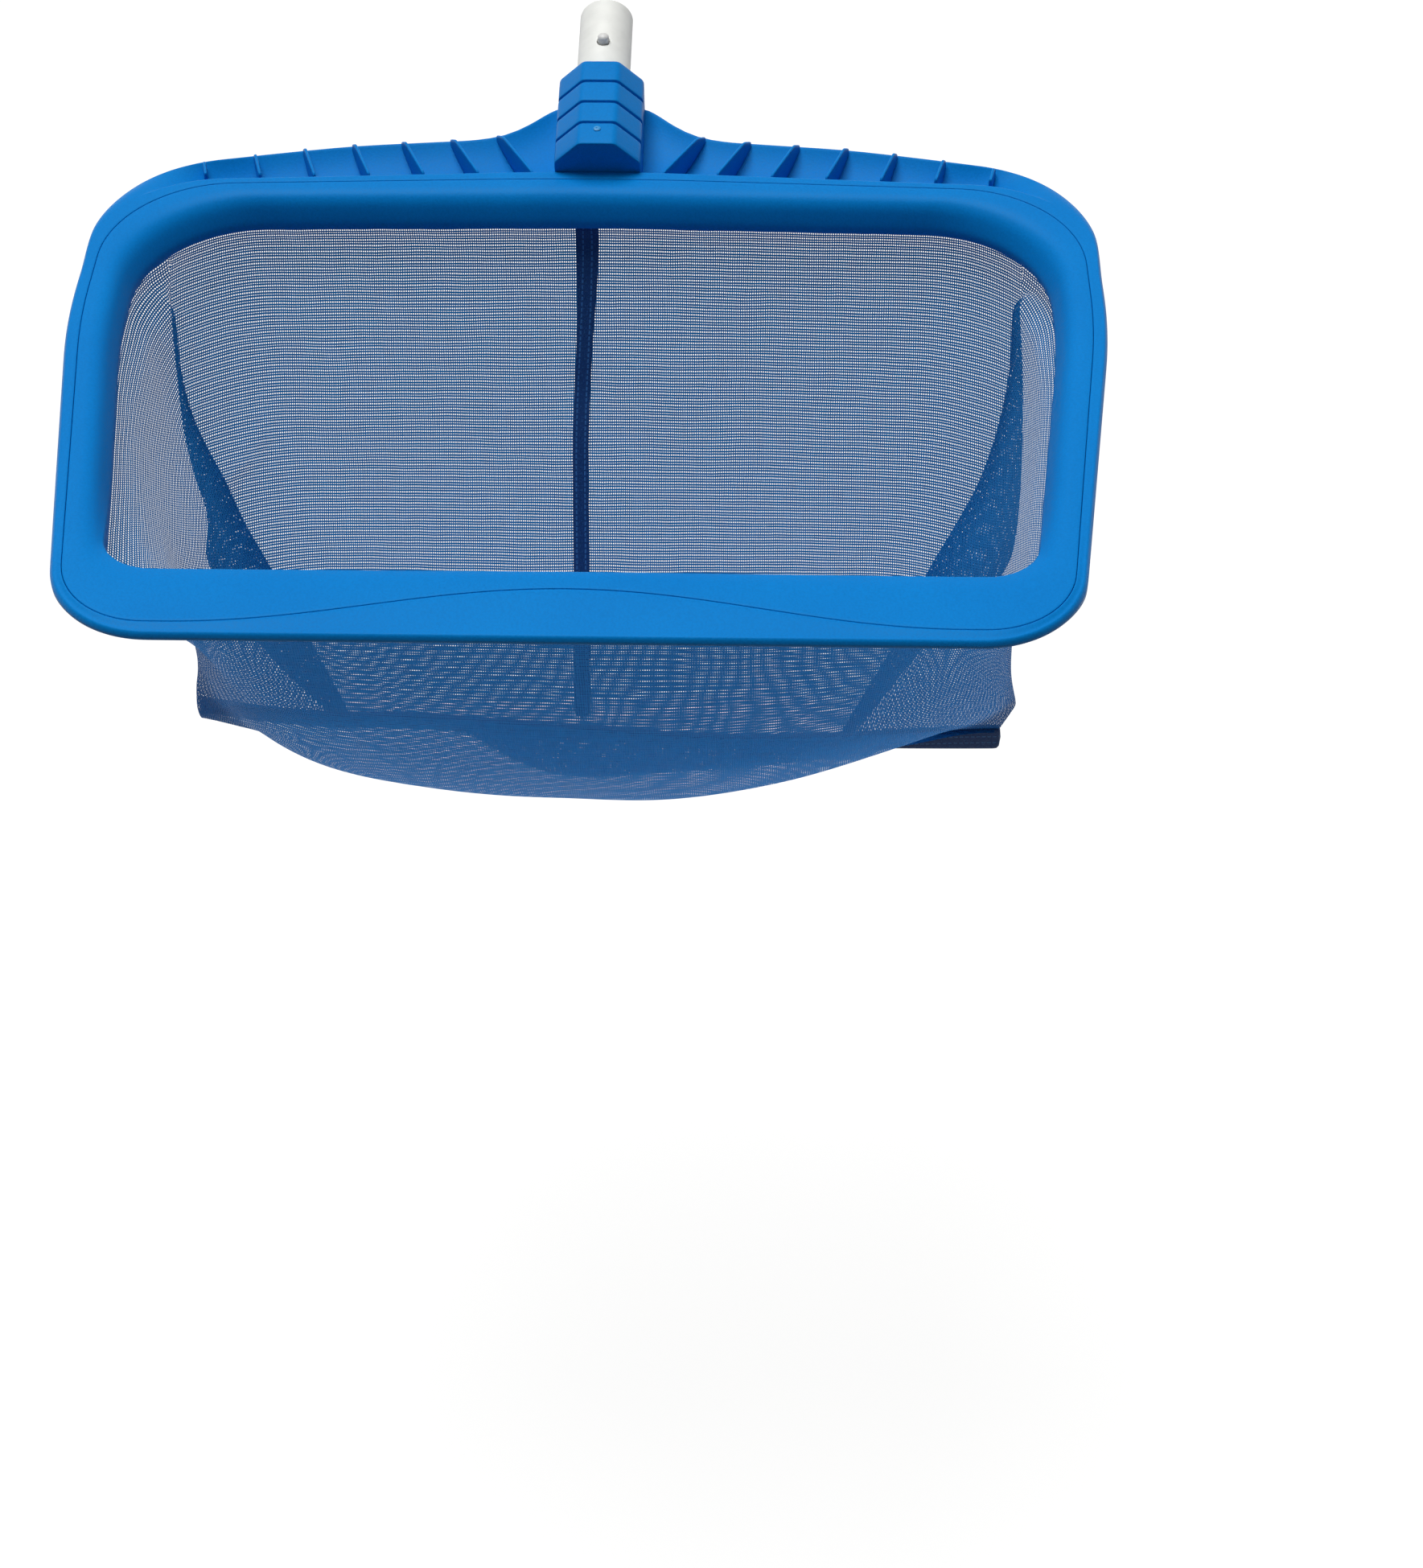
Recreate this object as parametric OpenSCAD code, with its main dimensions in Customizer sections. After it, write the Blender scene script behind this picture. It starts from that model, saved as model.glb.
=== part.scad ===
// Deep-bag leaf skimmer net: moulded hoop with a ribbed handle flange, an octagonal
// pole socket, a drilled tube stub with sprung snap buttons, and a gusseted net bag.
// The origin is on the tube's axis at the socket's rear face, where a pole stops.
// +Y runs away from the scooping lip, towards the pole, and +Z is up out of the bag.

/* [Hoop] */
// Distance from the scooping lip to the socket's rear face
lip_to_collar = 414.8; // [405:0.1:425]
// Height of the socket's rear face, on the tube's axis, above the rim
collar_rise = 4.6; // [3:0.1:7]
// Half width of the hoop where the lip's corners would meet
lip_half = 230.5; // [225:0.5:235]
// Radius of the lip's two corners
lip_corner_r = 50; // [44:1:56]
// Half width of the hoop at its widest
hoop_half = 257.5; // [252:0.5:262]
// Distance from the lip to the widest place
wide_y = 225; // [200:1:240]
// Distance from the lip to the back of the flat ledge, at the middle
ledge_back = 351; // [348:0.5:353]
// Height of the outer skirt
skirt_h = 22; // [18:1:26]
// Wall thickness of the mouldings
wall = 3; // [2.4:0.1:3.4]
// Thickness of the lip's leading edge
lip_edge = 1.8; // [1.4:0.1:2.4]

/* [Clamp ring] */
// Width from the parting line to the inner edge at the handle side
ring_back_w = 20; // [18:0.5:22]
// Height of the clamp ring
ring_h = 18; // [16:0.5:20]
// Rise of the parting line's arch on the lip
lip_arch = 24; // [15:1:26]
// Width of the parting gap
part_gap = 0.35; // [0.3:0.05:0.5]

/* [Flange] */
// Depth of the tray behind the ledge
tray_depth = 16; // [12:0.5:18]
// Distance between ribs
rib_pitch = 28.4; // [27:0.1:29]
// Distance of the first rib's foot from the middle
rib_first = 33.4; // [32:0.1:35]
// Thickness of a rib
rib_t = 1.8; // [1.4:0.1:2.2]
// Angle by which the first rib fans outward
rib_fan = 29; // [24:1:32]
// Lessening of that angle from rib to rib
rib_fan_step = 2.9; // [2:0.1:3.4]

/* [Socket and tube] */
// Upward tilt of the socket and tube
handle_tilt = 7; // [5:0.5:9]
// Width of the octagonal socket across its flats
socket_af = 45; // [44:0.5:47]
// Length of the socket
socket_len = 64; // [62:0.5:66]
// Depth of the grooves between the socket's rings
groove_d = 1.3; // [0.8:0.1:1.6]
// Width of those grooves
groove_w = 2; // [1.4:0.1:2.4]
// Outside diameter of the tube stub
tube_d = 28.5; // [28.2:0.1:28.8]
// Wall thickness of the tube stub
tube_wall = 1.5; // [1.2:0.1:1.8]
// Length of the stub outside the socket
tube_free = 60; // [56:1:66]
// Length of the stub inside the socket
tube_held = 57; // [54:0.5:58]
// Distance from the socket to the snap button's axis
button_y = 26; // [24:0.5:30]
// Diameter of the holes that the snap buttons pass
button_hole_d = 7.4; // [7.2:0.1:7.6]

/* [Snap clip] */
// Diameter of a snap button
button_d = 6; // [5.6:0.1:6.1]
// Height of a button above the tube
button_proud = 4; // [3.5:0.1:4.5]
// Distance from the clip's bow to the buttons
leg_len = 40; // [36:1:44]
// Thickness of the clip's strip
strip_t = 0.8; // [0.6:0.1:1]
// Width of the clip's strip
strip_w = 7; // [6:0.5:7]

/* [Net bag] */
// Depth of the bottom seam below the rim
bag_depth = 246; // [230:2:260]
// Distance from the lip to the bottom seam
seam_y = 190; // [175:5:200]
// Half length of the bottom seam
seam_half = 214; // [205:1:218]
// Distance from the middle to the side pleat's inner fold at the bottom seam
fold_half = 134; // [120:1:145]
// Width of the side pleat at the bottom seam
pleat_w = 12; // [8:1:16]
// Distance from the lip to the side pleat's inner fold at the hem
fold_y = 288; // [280:1:294]
// Thickness of the net's solid
net_t = 0.8; // [0.6:0.1:1]
// Width of the tape over the back panel's middle seam
tape_w = 7; // [6:0.5:9]
// Height of the binding under the bottom seam
strip_h = 13; // [9:1:14]

/* [Hidden] */
// Segments on each corner arc of the hoop's outlines
arc_n = 9;
// Points along the lip's straight run
lip_n = 15;
// Gap between pieces that lie against each other
gap = 0.3;
// Half width of the socket with its gap to the flange
root_x = socket_af / 2 + gap;
// Distance from the lip to the end of the flange beside the socket
root_y = lip_to_collar - 1.3;
// Inner edge of the clamp ring at the middle of the handle side
mouth_back = ledge_back - 5.5 - ring_back_w;
// Step from the ledge down to the ribs' crests
crest_drop = 0.5;
// Rise of a rib's outer end above the tray's edge
rib_rise = 1.4;
// Height and width of the shelf that carries the clamp ring
shelf_z = -wall - gap;
shelf_w = 5;
// Profile of the clamp ring: heights at shares of the way from the parting line to the mouth
ring_z = [0, 0, -0.9, -3.2, -7, -12.5];
ring_s = [0, 0.3, 0.52, 0.74, 0.9, 1];
// Top, bottom and thickness of the net's doubled hem, and the radius of the cord in it
hem_top = -8;
hem_bottom = -26;
hem_t = 1.2;
cord_r = 1.5;
// Height at which the net's panels start
mouth_z = hem_bottom - gap;
// Radii of the socket's corners, its bore, the tube and the tube's inside
octagon_r = socket_af / 2 / cos(22.5);
bore_r = tube_d / 2 + 0.1;
tube_r = tube_d / 2;
tube_in_r = tube_r - tube_wall;
// Height of the clip's legs and place of its bow, in the tube
leg_r = tube_in_r - 0.95;
bow_y = button_y - leg_len;
// Place and radius of the rivet
rivet_y = -(socket_len - 11);
rivet_r = 1.5;
// Two thicknesses of net
layer = net_t * 2;
// Distance from the middle to the side pleat's outer fold at the bottom seam
pleat_half = fold_half + pleat_w;
// Pull on the panels' middle points: at the front corner, the inner fold, the outer fold
// and the middles of the front and back panels
corner_pull = [-10, -8, 8];
fold_pull = [42, 27, 10];
pleat_pull = [66, 12, 0];
front_pull = [0, -38, -142];
back_pull = [0, 12, -14];
blue = [0.02, 0.36, 0.72];
net_blue = [0.28, 0.42, 0.6];
tape_blue = [0.07, 0.18, 0.36];

// ---- outlines: arcs that round the corners of a polygon ----

function unit2(v) = v / norm(v);
function mix(a, b, t) = a + (b - a) * t;
function smooth(t) = let (c = min(1, max(0, t))) c * c * (3 - 2 * c);

// The points of one rounded corner at c = [x, y, r], between the corners p and q
function arc_points(p, c, q, n) =
    let (
        at = [c[0], c[1]],
        d1 = unit2([p[0], p[1]] - at),
        d2 = unit2([q[0], q[1]] - at),
        half = acos(d1 * d2) / 2,
        middle = at + unit2(d1 + d2) * c[2] / sin(half),
        a1 = atan2((at + d1 * c[2] / tan(half) - middle)[1], (at + d1 * c[2] / tan(half) - middle)[0]),
        a2 = atan2((at + d2 * c[2] / tan(half) - middle)[1], (at + d2 * c[2] / tan(half) - middle)[0]),
        turn = (a2 - a1 + 540) % 360 - 180
    )
    [for (i = [0 : n]) middle + c[2] * [cos(a1 + turn * i / n), sin(a1 + turn * i / n)]];

// A closed outline from a list of corners, with points along its last straight run, the lip
function rounded(corners) =
    let (
        m = len(corners),
        arcs = [for (k = [0 : m - 1])
            each arc_points(corners[(k + m - 1) % m], corners[k], corners[(k + 1) % m], arc_n)]
    )
    [each arcs, for (i = [1 : lip_n]) mix(arcs[len(arcs) - 1], arcs[0], i / (lip_n + 1))];

// An open outline from its first corner to its last, both sharp
function rounded_run(corners) =
    let (m = len(corners))
    [
        [corners[0][0], corners[0][1]],
        for (k = [1 : m - 2]) each arc_points(corners[k - 1], corners[k], corners[k + 1], arc_n),
        [corners[m - 1][0], corners[m - 1][1]]
    ];

// Right-hand corners, mirrored to make the whole outline, starting at the lip
function both_sides(half_corners) =
    [
        each half_corners,
        for (k = [len(half_corners) - 2 : -1 : 0])
            [-half_corners[k][0], half_corners[k][1], half_corners[k][2]]
    ];

// The hoop's outline at its outer edge, moved inward by d
function outer_corners(d) = both_sides([
    [lip_half - d, d, lip_corner_r - d],
    [hoop_half - d, wide_y, 400],
    [hoop_half - 3 - d, ledge_back - 11.5 - d, 66 - d],
    [0, ledge_back + 1 - d, 900]
]);

// The parting line between the hoop and the clamp ring, moved inward by d
function parting_corners(d) = both_sides([
    [lip_half - 4.5 - d, 7.6 + d, 42 - d / 2],
    [hoop_half - 7.5 - d, wide_y, 400],
    [hoop_half - 9.5 - d, ledge_back - 15 - d, 64 - d / 2],
    [0, ledge_back - 5.6 - d, 1500]
]);

// The inner edge of the clamp ring, moved outward by d
function mouth_corners(d) = both_sides([
    [lip_half - 18 + d, 46 - d, 25 + d],
    [hoop_half - 25 + d, wide_y, 400],
    [hoop_half - 26.5 + d, mouth_back - 5 + d, 64 + d],
    [0, mouth_back + d, 1500]
]);

// How much of the parting line's arch a point takes, by its place on the lip
function arch(p) = lip_arch * (1 + cos(180 * min(1, abs(p[0]) / 178))) / 2 * (1 - smooth(p[1] / 30 - 0.4));
function lip_share(y) = 1 - smooth((y - 15) / 75);

// ---- solids swept round the hoop ----

// Faces of a solid made of closed loops, each with n points, joined in a ring
function torus_faces(loops, n) =
    [for (j = [0 : loops - 1], i = [0 : n - 1])
        let (a = j * n + i, b = j * n + (i + 1) % n, up = ((j + 1) % loops) * n)
        each [
            [a, b, up + (i + 1) % n],
            [a, up + (i + 1) % n, up + i]
        ]];

module swept(loops) {
    polyhedron(
        points = [for (loop = loops) each loop],
        faces = torus_faces(len(loops), len(loops[0]))
    );
}

// One loop round the hoop: a flat outline with heights z at the rim and z_lip at the lip
function lifted(outline, z, z_lip, arched = 0) =
    [for (p = outline) [p[0], p[1] + arched * arch(p), mix(z, z_lip, lip_share(p[1]))]];

module in_hoop() translate([0, -lip_to_collar, -collar_rise]) children();
module on_handle() rotate([handle_tilt, 0, 0]) children();

// ---- hoop, clamp ring and the hem that they hold ----

module frame_hoop() color(blue) in_hoop()
    swept([
        lifted(rounded(parting_corners(-part_gap)), 0, 0, 1),
        lifted(rounded(outer_corners(2.4)), 0, -1, 0),
        lifted(rounded(outer_corners(0.8)), -0.7, -2, 0),
        lifted(rounded(outer_corners(0)), -3, -3.4, 0),
        lifted(rounded(outer_corners(0.01)), -skirt_h, -3.4 - lip_edge, 0),
        lifted(rounded(outer_corners(wall)), -skirt_h, -3.6 - lip_edge, 0),
        lifted(rounded(outer_corners(wall + 0.4)), shelf_z - wall, shelf_z - wall + 0.6, 0),
        lifted(rounded(parting_corners(shelf_w)), shelf_z - wall, shelf_z - wall, 1),
        lifted(rounded(parting_corners(shelf_w)), shelf_z, shelf_z, 1),
        lifted(rounded(parting_corners(-part_gap - 0.05)), shelf_z, shelf_z, 1)
    ]);

// Share s of the way from the parting line to the mouth, moved outward by d
function ring_loop(s, d, z, z_lip) =
    let (a = rounded(parting_corners(-d)), b = rounded(mouth_corners(d)))
    [for (i = [0 : len(a) - 1])
        let (p = mix([a[i][0], a[i][1] + arch(a[i])], b[i], s))
        [p[0], p[1], mix(z, z_lip, lip_share(b[i][1] - 25))]];

module clamp_ring() color(blue) in_hoop()
    swept([
        for (k = [0 : 5]) ring_loop(ring_s[k], 0, ring_z[k], ring_z[k] / 5),
        ring_loop(1, 0.01, -ring_h, -ring_h),
        ring_loop(1, wall, -ring_h, -ring_h),
        ring_loop(1, wall + 0.2, -wall - 1, -wall - 0.3),
        ring_loop(0.1, 0, -wall, -wall)
    ]);

module hem_band() color(net_blue) in_hoop()
    swept([
        lifted(rounded(mouth_corners(wall + 0.5)), hem_top, hem_top),
        lifted(rounded(mouth_corners(wall + 0.5)), hem_bottom, hem_bottom),
        lifted(rounded(mouth_corners(wall + 0.5 + hem_t)), hem_bottom, hem_bottom),
        lifted(rounded(mouth_corners(wall + 0.5 + hem_t)), hem_top, hem_top)
    ]);

module hem_cord() color(tape_blue) in_hoop()
    swept([for (a = [0 : 60 : 300])
        lifted(
            rounded(mouth_corners(wall + 0.6 + hem_t + cord_r + cord_r * cos(a))),
            hem_top - 3 + cord_r * sin(-a),
            hem_top - 3 + cord_r * sin(-a)
        )]);

// ---- handle flange: a ribbed tray on each side of the socket ----

ledge_run = rounded_run([
    [root_x, ledge_back + gap, 0],
    [60, ledge_back - 0.4 + gap, 200],
    [140, ledge_back - 3.6 + gap, 300],
    [hoop_half - 3 + gap, ledge_back - 10.8, 66],
    [hoop_half - 0.75, wide_y + 40, 0]
]);
rim_run = rounded_run([
    [root_x, root_y, 0],
    [50, 389, 40],
    [148, 379.5, 300],
    [hoop_half - 1.7, 350, 80],
    [hoop_half - 0.3, wide_y + 40, 0]
]);
run_n = len(rim_run);
ledge_table = [for (k = [0 : run_n - 2]) [ledge_run[k][0], ledge_run[k][1]]];
rim_table = [for (k = [0 : run_n - 2]) [rim_run[k][0], rim_run[k][1]]];

// Depth of the tray's floor and height of its outer edge, by distance from the middle
function floor_z(x) = -mix(tray_depth, 4, smooth((x - 195) / 45));
function edge_z(x) = mix(mix(-2.5, -6, smooth((x - root_x) / 30)), -3, smooth((x - 150) / 90));

// Share v of the way over the tray, from the ledge to the outer edge
function tray_z(x, v) = mix(floor_z(x), edge_z(x), pow(v, 2.6));
function tray_point(k, v, drop) =
    let (a = ledge_run[k], b = rim_run[k])
    [mix(a[0], b[0], v), mix(a[1], b[1], v), tray_z(b[0], v) - drop];

// One cross-section of the tray with its skirt
function tray_section(k) =
    let (
        b = rim_run[k],
        wide = max(4, norm(b - ledge_run[k])),
        v_in = 1 - min(0.45, wall / wide)
    )
    [
        for (v = [0, 0.25, 0.5, 0.7, 0.86, 1]) tray_point(k, v, 0),
        [b[0], b[1], -skirt_h],
        concat(tray_xy(k, v_in), -skirt_h),
        concat(tray_xy(k, v_in), tray_z(b[0], v_in) - wall),
        for (v = [0.5, 0]) tray_point(k, v, v_in > 0.6 ? wall : 2)
    ];
function tray_xy(k, v) = [
    mix(ledge_run[k][0], rim_run[k][0], v),
    mix(ledge_run[k][1], rim_run[k][1], v)
];

// Faces of an open run of closed sections, with a cap at each end
function run_faces(count, n) =
    [
        [for (i = [n - 1 : -1 : 0]) i],
        [for (i = [0 : n - 1]) (count - 1) * n + i],
        for (j = [0 : count - 2], i = [0 : n - 1])
            let (a = j * n + i, b = j * n + (i + 1) % n)
            each [[a, b, b + n], [a, b + n, a + n]]
    ];

module flange() {
    sections = [for (k = [0 : run_n - 2]) tray_section(k)];
    polyhedron(
        points = [for (s = sections) each s],
        faces = run_faces(len(sections), len(sections[0]))
    );
}
module flange_right() color(blue) in_hoop() flange();
module flange_left() color(blue) in_hoop() mirror([1, 0, 0]) flange();

// A rib stands in the tray with its crest level with the ledge
module rib(k) {
    x = rib_first + rib_pitch * (k - 1);
    fan = rib_fan - rib_fan_step * (k - 1);
    foot_y = lookup(x, ledge_table) + gap;
    end_x = x + tan(fan) * (lookup(x + 8, rim_table) - foot_y);
    run = (lookup(end_x, rim_table) - foot_y) / cos(fan) - 0.6;
    crest = -crest_drop;
    translate([x, foot_y, 0])
        rotate([90, 0, 90 - fan])
            linear_extrude(height = rib_t, center = true)
                polygon([
                    for (v = [0, 0.25, 0.5, 0.7, 0.86, 1]) [run * v, tray_z(end_x, v) + 0.5],
                    [run, edge_z(end_x) + rib_rise],
                    [run * 0.93, crest - 0.8],
                    [run * 0.8, crest],
                    [rib_t, crest],
                    [rib_t, -tray_depth / 2]
                ]);
}
module rib_right(k) color(blue) in_hoop() rib(k);
module rib_left(k) color(blue) in_hoop() mirror([1, 0, 0]) rib(k);

// ---- socket and tube ----

module octagon_bar(r, length) rotate([90, 22.5, 0]) cylinder(h = length, r = r, $fn = 8);

module socket() color(blue) on_handle()
    difference() {
        octagon_bar(octagon_r, socket_len);
        for (k = [1 : 3])
            translate([0, -k * socket_len / 4 + groove_w / 2, 0])
                difference() {
                    octagon_bar(octagon_r + 3, groove_w);
                    translate([0, 1, 0]) octagon_bar(octagon_r - groove_d, groove_w + 2);
                }
        translate([0, 1, 0]) rotate([90, 0, 0]) cylinder(h = tube_held + 2, r = bore_r, $fn = 96);
        translate([0, rivet_y, 0]) cylinder(h = socket_af, r = rivet_r + 0.1, $fn = 32);
    }

// Web under the socket that joins it to the flange on both sides
module socket_cradle() color(blue)
    difference() {
        in_hoop() translate([-socket_af / 2, ledge_back + gap, -skirt_h])
            cube([socket_af, 55, skirt_h - wall]);
        on_handle() translate([0, 10, 0]) octagon_bar(octagon_r + 0.2, socket_len + 20);
    }

module stub_tube() color([0.9, 0.9, 0.87]) on_handle()
    difference() {
        translate([0, tube_free, 0]) rotate([90, 0, 0])
            cylinder(h = tube_free + tube_held, r = tube_r, $fn = 96);
        translate([0, tube_free + 1, 0]) rotate([90, 0, 0])
            cylinder(h = tube_free + tube_held + 2, r = tube_in_r, $fn = 96);
        translate([0, button_y, 0])
            cylinder(h = 2 * tube_d, r = button_hole_d / 2, center = true, $fn = 48);
        translate([0, rivet_y, 0]) cylinder(h = tube_d, r = rivet_r + 0.1, $fn = 32);
    }

// Blind rivet through the top of the socket into the tube
module socket_rivet() color([0.75, 0.76, 0.78]) on_handle()
    translate([0, rivet_y, 0]) {
        translate([0, 0, tube_in_r - rivet_r])
            cylinder(h = socket_af / 2 - tube_in_r + 1.9, r = rivet_r, $fn = 32);
        translate([0, 0, tube_in_r - 2.3]) cylinder(h = 1.6, r = 1.4 * rivet_r, $fn = 32);
    }

// ---- sprung snap clip inside the tube ----

module clip_bow() color([0.7, 0.71, 0.73]) on_handle()
    translate([0, bow_y - 0.5, 0])
        difference() {
            rotate([0, 90, 0]) cylinder(h = strip_w, r = leg_r, center = true, $fn = 64);
            rotate([0, 90, 0]) cylinder(h = strip_w + 1, r = leg_r - strip_t, center = true, $fn = 64);
            translate([-strip_w, 0, -tube_d]) cube([2 * strip_w, 2 * tube_d, 2 * tube_d]);
        }

module clip_leg() color([0.7, 0.71, 0.73])
    translate([-strip_w / 2, bow_y, leg_r - strip_t])
        cube([strip_w, leg_len + strip_w / 2, strip_t]);
module clip_leg_top() on_handle() clip_leg();
module clip_leg_bottom() on_handle() mirror([0, 0, 1]) clip_leg();

module button() color([0.8, 0.81, 0.8])
    translate([0, button_y, leg_r]) {
        cylinder(h = tube_r - leg_r + button_proud - button_d / 4, r = button_d / 2, $fn = 48);
        translate([0, 0, tube_r - leg_r + button_proud - button_d / 4])
            intersection() {
                translate([0, 0, -button_d / 2]) sphere(r = button_d / sqrt(2), $fn = 48);
                cylinder(h = button_d, r = button_d / 2, $fn = 48);
            }
    }
module button_top() on_handle() button();
module button_bottom() on_handle() mirror([0, 0, 1]) button();

// ---- net bag: front, back and side panels, with a pleat between side and back ----

// The bag's mouth, along the middle of the hem
mouth = rounded(mouth_corners(wall + 0.5 + hem_t / 2));
half_n = 4 * (arc_n + 1);
// Right half of the mouth, from the lip's middle to the back's middle
half_mouth = [
    [0, mouth[0][1]],
    for (k = [0 : half_n - 1]) if (mouth[k][0] > 1) mouth[k],
    [0, mouth_back + wall + 0.5 + hem_t / 2]
];
half_len = len(half_mouth);
// Distance along the mouth from the lip's middle to each of its points
mouth_s = [for (k = 0, s = 0; k < half_len;
    s = s + (k < half_len - 1 ? norm(half_mouth[k + 1] - half_mouth[k]) : 0), k = k + 1) s];
mouth_x = [for (k = [0 : half_len - 1]) [mouth_s[k], half_mouth[k][0]]];
mouth_y = [for (k = [0 : half_len - 1]) [mouth_s[k], half_mouth[k][1]]];
side_s = [for (k = [1 : half_len - 2]) [half_mouth[k][1], mouth_s[k]]];
front_s = mouth_s[1 + floor(arc_n / 2)];
fold_s = lookup(fold_y, side_s);
back_s = fold_s + pleat_w;
end_s = mouth_s[half_len - 1];

// A point on the mouth at share u between two distances along it
function along(s0, s1, u) = [lookup(mix(s0, s1, u), mouth_x), lookup(mix(s0, s1, u), mouth_y)];

// A curve from the mouth to the seam, pulled aside at its middle
function belly(a, pull, b, v) =
    (1 - v) * (1 - v) * a + 2 * v * (1 - v) * (mix(a, b, 0.5) + pull) + v * v * b;

function at_mouth(p) = [p[0], p[1], mouth_z];
function at_seam(x, y) = [x, seam_y + y, -bag_depth];
function flipped(p, side) = [side * p[0], p[1], p[2]];

function back_point(u, v) = belly(
    at_mouth(along(end_s, back_s, u)),
    mix(back_pull, pleat_pull, pow(u, 3)),
    at_seam(pleat_half * u, 1.5 * layer),
    v
);
function pleat_point(u, v) = belly(
    at_mouth(along(back_s, fold_s, u)),
    mix(pleat_pull, fold_pull, u),
    at_seam(mix(pleat_half, fold_half, u), 0.5 * layer),
    v
);
function side_point(u, v) = belly(
    at_mouth(along(front_s, fold_s, u)),
    mix(corner_pull, fold_pull, u * u),
    at_seam(mix(seam_half, fold_half, u), -0.5 * layer),
    v
);
// The front panel runs from u = -1 at its left edge to u = 1 at its right
function front_point(u, v) = flipped(
    belly(
        at_mouth(along(0, front_s, abs(u))),
        [for (k = [0 : 2]) mix(front_pull[k], corner_pull[k], pow(u, k == 2 ? 4 : 2))],
        at_seam(seam_half * abs(u), -1.5 * layer),
        v
    ),
    sign(u)
);

// A strip of tape width down the middle of a panel
function tape_point(u, p) = [(u - 0.5) * tape_w, p[1], p[2]];

function panel_point(kind, u, v) =
    kind == "back" ? back_point(u, v)
    : kind == "tape" ? tape_point(u, back_point(0, v))
    : kind == "front" ? front_point(u, v)
    : kind == "pleat" ? pleat_point(u, v)
    : side_point(u, v);

// The same point moved off the panel along its normal
function off_panel(kind, u, v, d) =
    let (
        e = 0.01,
        p = panel_point(kind, u, v),
        pu = panel_point(kind, u + (u < 0.5 ? e : -e), v) - p,
        pv = panel_point(kind, u, v + (v < 0.5 ? e : -e)) - p,
        n = cross(pu, pv) * (u < 0.5 ? 1 : -1) * (v < 0.5 ? 1 : -1)
    )
    p + n / norm(n) * d;

// A closed sheet of net between two offsets, over shares u0 to u1 of a panel
module panel(kind, nu, nv, d0, d1, u0 = 0.002, u1 = 0.995) {
    w = nu + 1;
    top = (nv + 1) * w;
    cells = [for (j = [0 : nv - 1], i = [0 : nu - 1]) j * w + i];
    edge = [
        for (i = [0 : nu - 1]) i,
        for (j = [0 : nv - 1]) j * w + nu,
        for (i = [nu : -1 : 1]) nv * w + i,
        for (j = [nv : -1 : 1]) j * w
    ];
    polyhedron(
        points = [for (d = [d0, d1], j = [0 : nv], i = [0 : nu])
            off_panel(kind, mix(u0, u1, i / nu), j / nv, d)],
        faces = [
            for (a = cells) each [[a, a + 1, a + w + 1], [a, a + w + 1, a + w]],
            for (a = cells) each [
                [top + a, top + a + w + 1, top + a + 1],
                [top + a, top + a + w, top + a + w + 1]
            ],
            for (k = [0 : len(edge) - 1])
                let (a = edge[k], b = edge[(k + 1) % len(edge)])
                each [[a, top + a, top + b], [a, top + b, b]]
        ]
    );
}

module right_net(kind, nu) color(net_blue) in_hoop() panel(kind, nu, 8, -net_t / 2, net_t / 2);
module left_net(kind, nu) color(net_blue) in_hoop() mirror([1, 0, 0])
    panel(kind, nu, 8, -net_t / 2, net_t / 2);

module bag_front() color(net_blue) in_hoop()
    panel("front", 20, 10, -net_t / 2, net_t / 2, -0.995, 0.995);

module tape_back() color(tape_blue) in_hoop()
    panel("tape", 2, 8, net_t / 2 + 0.1, net_t / 2 + 0.7, 0, 1);

// Stiff binding folded round the bottom seam
module bottom_strip() color(tape_blue) in_hoop()
    translate([-seam_half, seam_y - 2 * layer, -bag_depth - strip_h])
        cube([2 * seam_half + 4, 4 * layer, strip_h - layer]);

frame_hoop();
flange_left();
flange_right();
rib_left(1);  // rib_left_1
rib_left(2);  // rib_left_2
rib_left(3);  // rib_left_3
rib_left(4);  // rib_left_4
rib_left(5);  // rib_left_5
rib_left(6);  // rib_left_6
rib_left(7);  // rib_left_7
rib_right(1);  // rib_right_1
rib_right(2);  // rib_right_2
rib_right(3);  // rib_right_3
rib_right(4);  // rib_right_4
rib_right(5);  // rib_right_5
rib_right(6);  // rib_right_6
rib_right(7);  // rib_right_7
socket();
socket_cradle();
clamp_ring();
hem_cord();
hem_band();
stub_tube();
socket_rivet();
clip_bow();
clip_leg_top();
clip_leg_bottom();
button_top();
button_bottom();
left_net("back", 10);  // bag_back_left
right_net("back", 10);  // bag_back_right
bag_front();
left_net("side", 8);  // bag_side_left
right_net("side", 8);  // bag_side_right
left_net("pleat", 2);  // bag_pleat_left
right_net("pleat", 2);  // bag_pleat_right
tape_back();
bottom_strip();
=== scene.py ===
"""Leaf skimmer net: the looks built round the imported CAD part.

Shapes are laid out in millimetres in the hoop's own coordinates: x across, y from the
lip's edge towards the pole, z up from the ledge. hoop() turns them into the row frame.
"""
import math

import bmesh
import bpy
import numpy as np
from mathutils import Matrix, Vector


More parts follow.
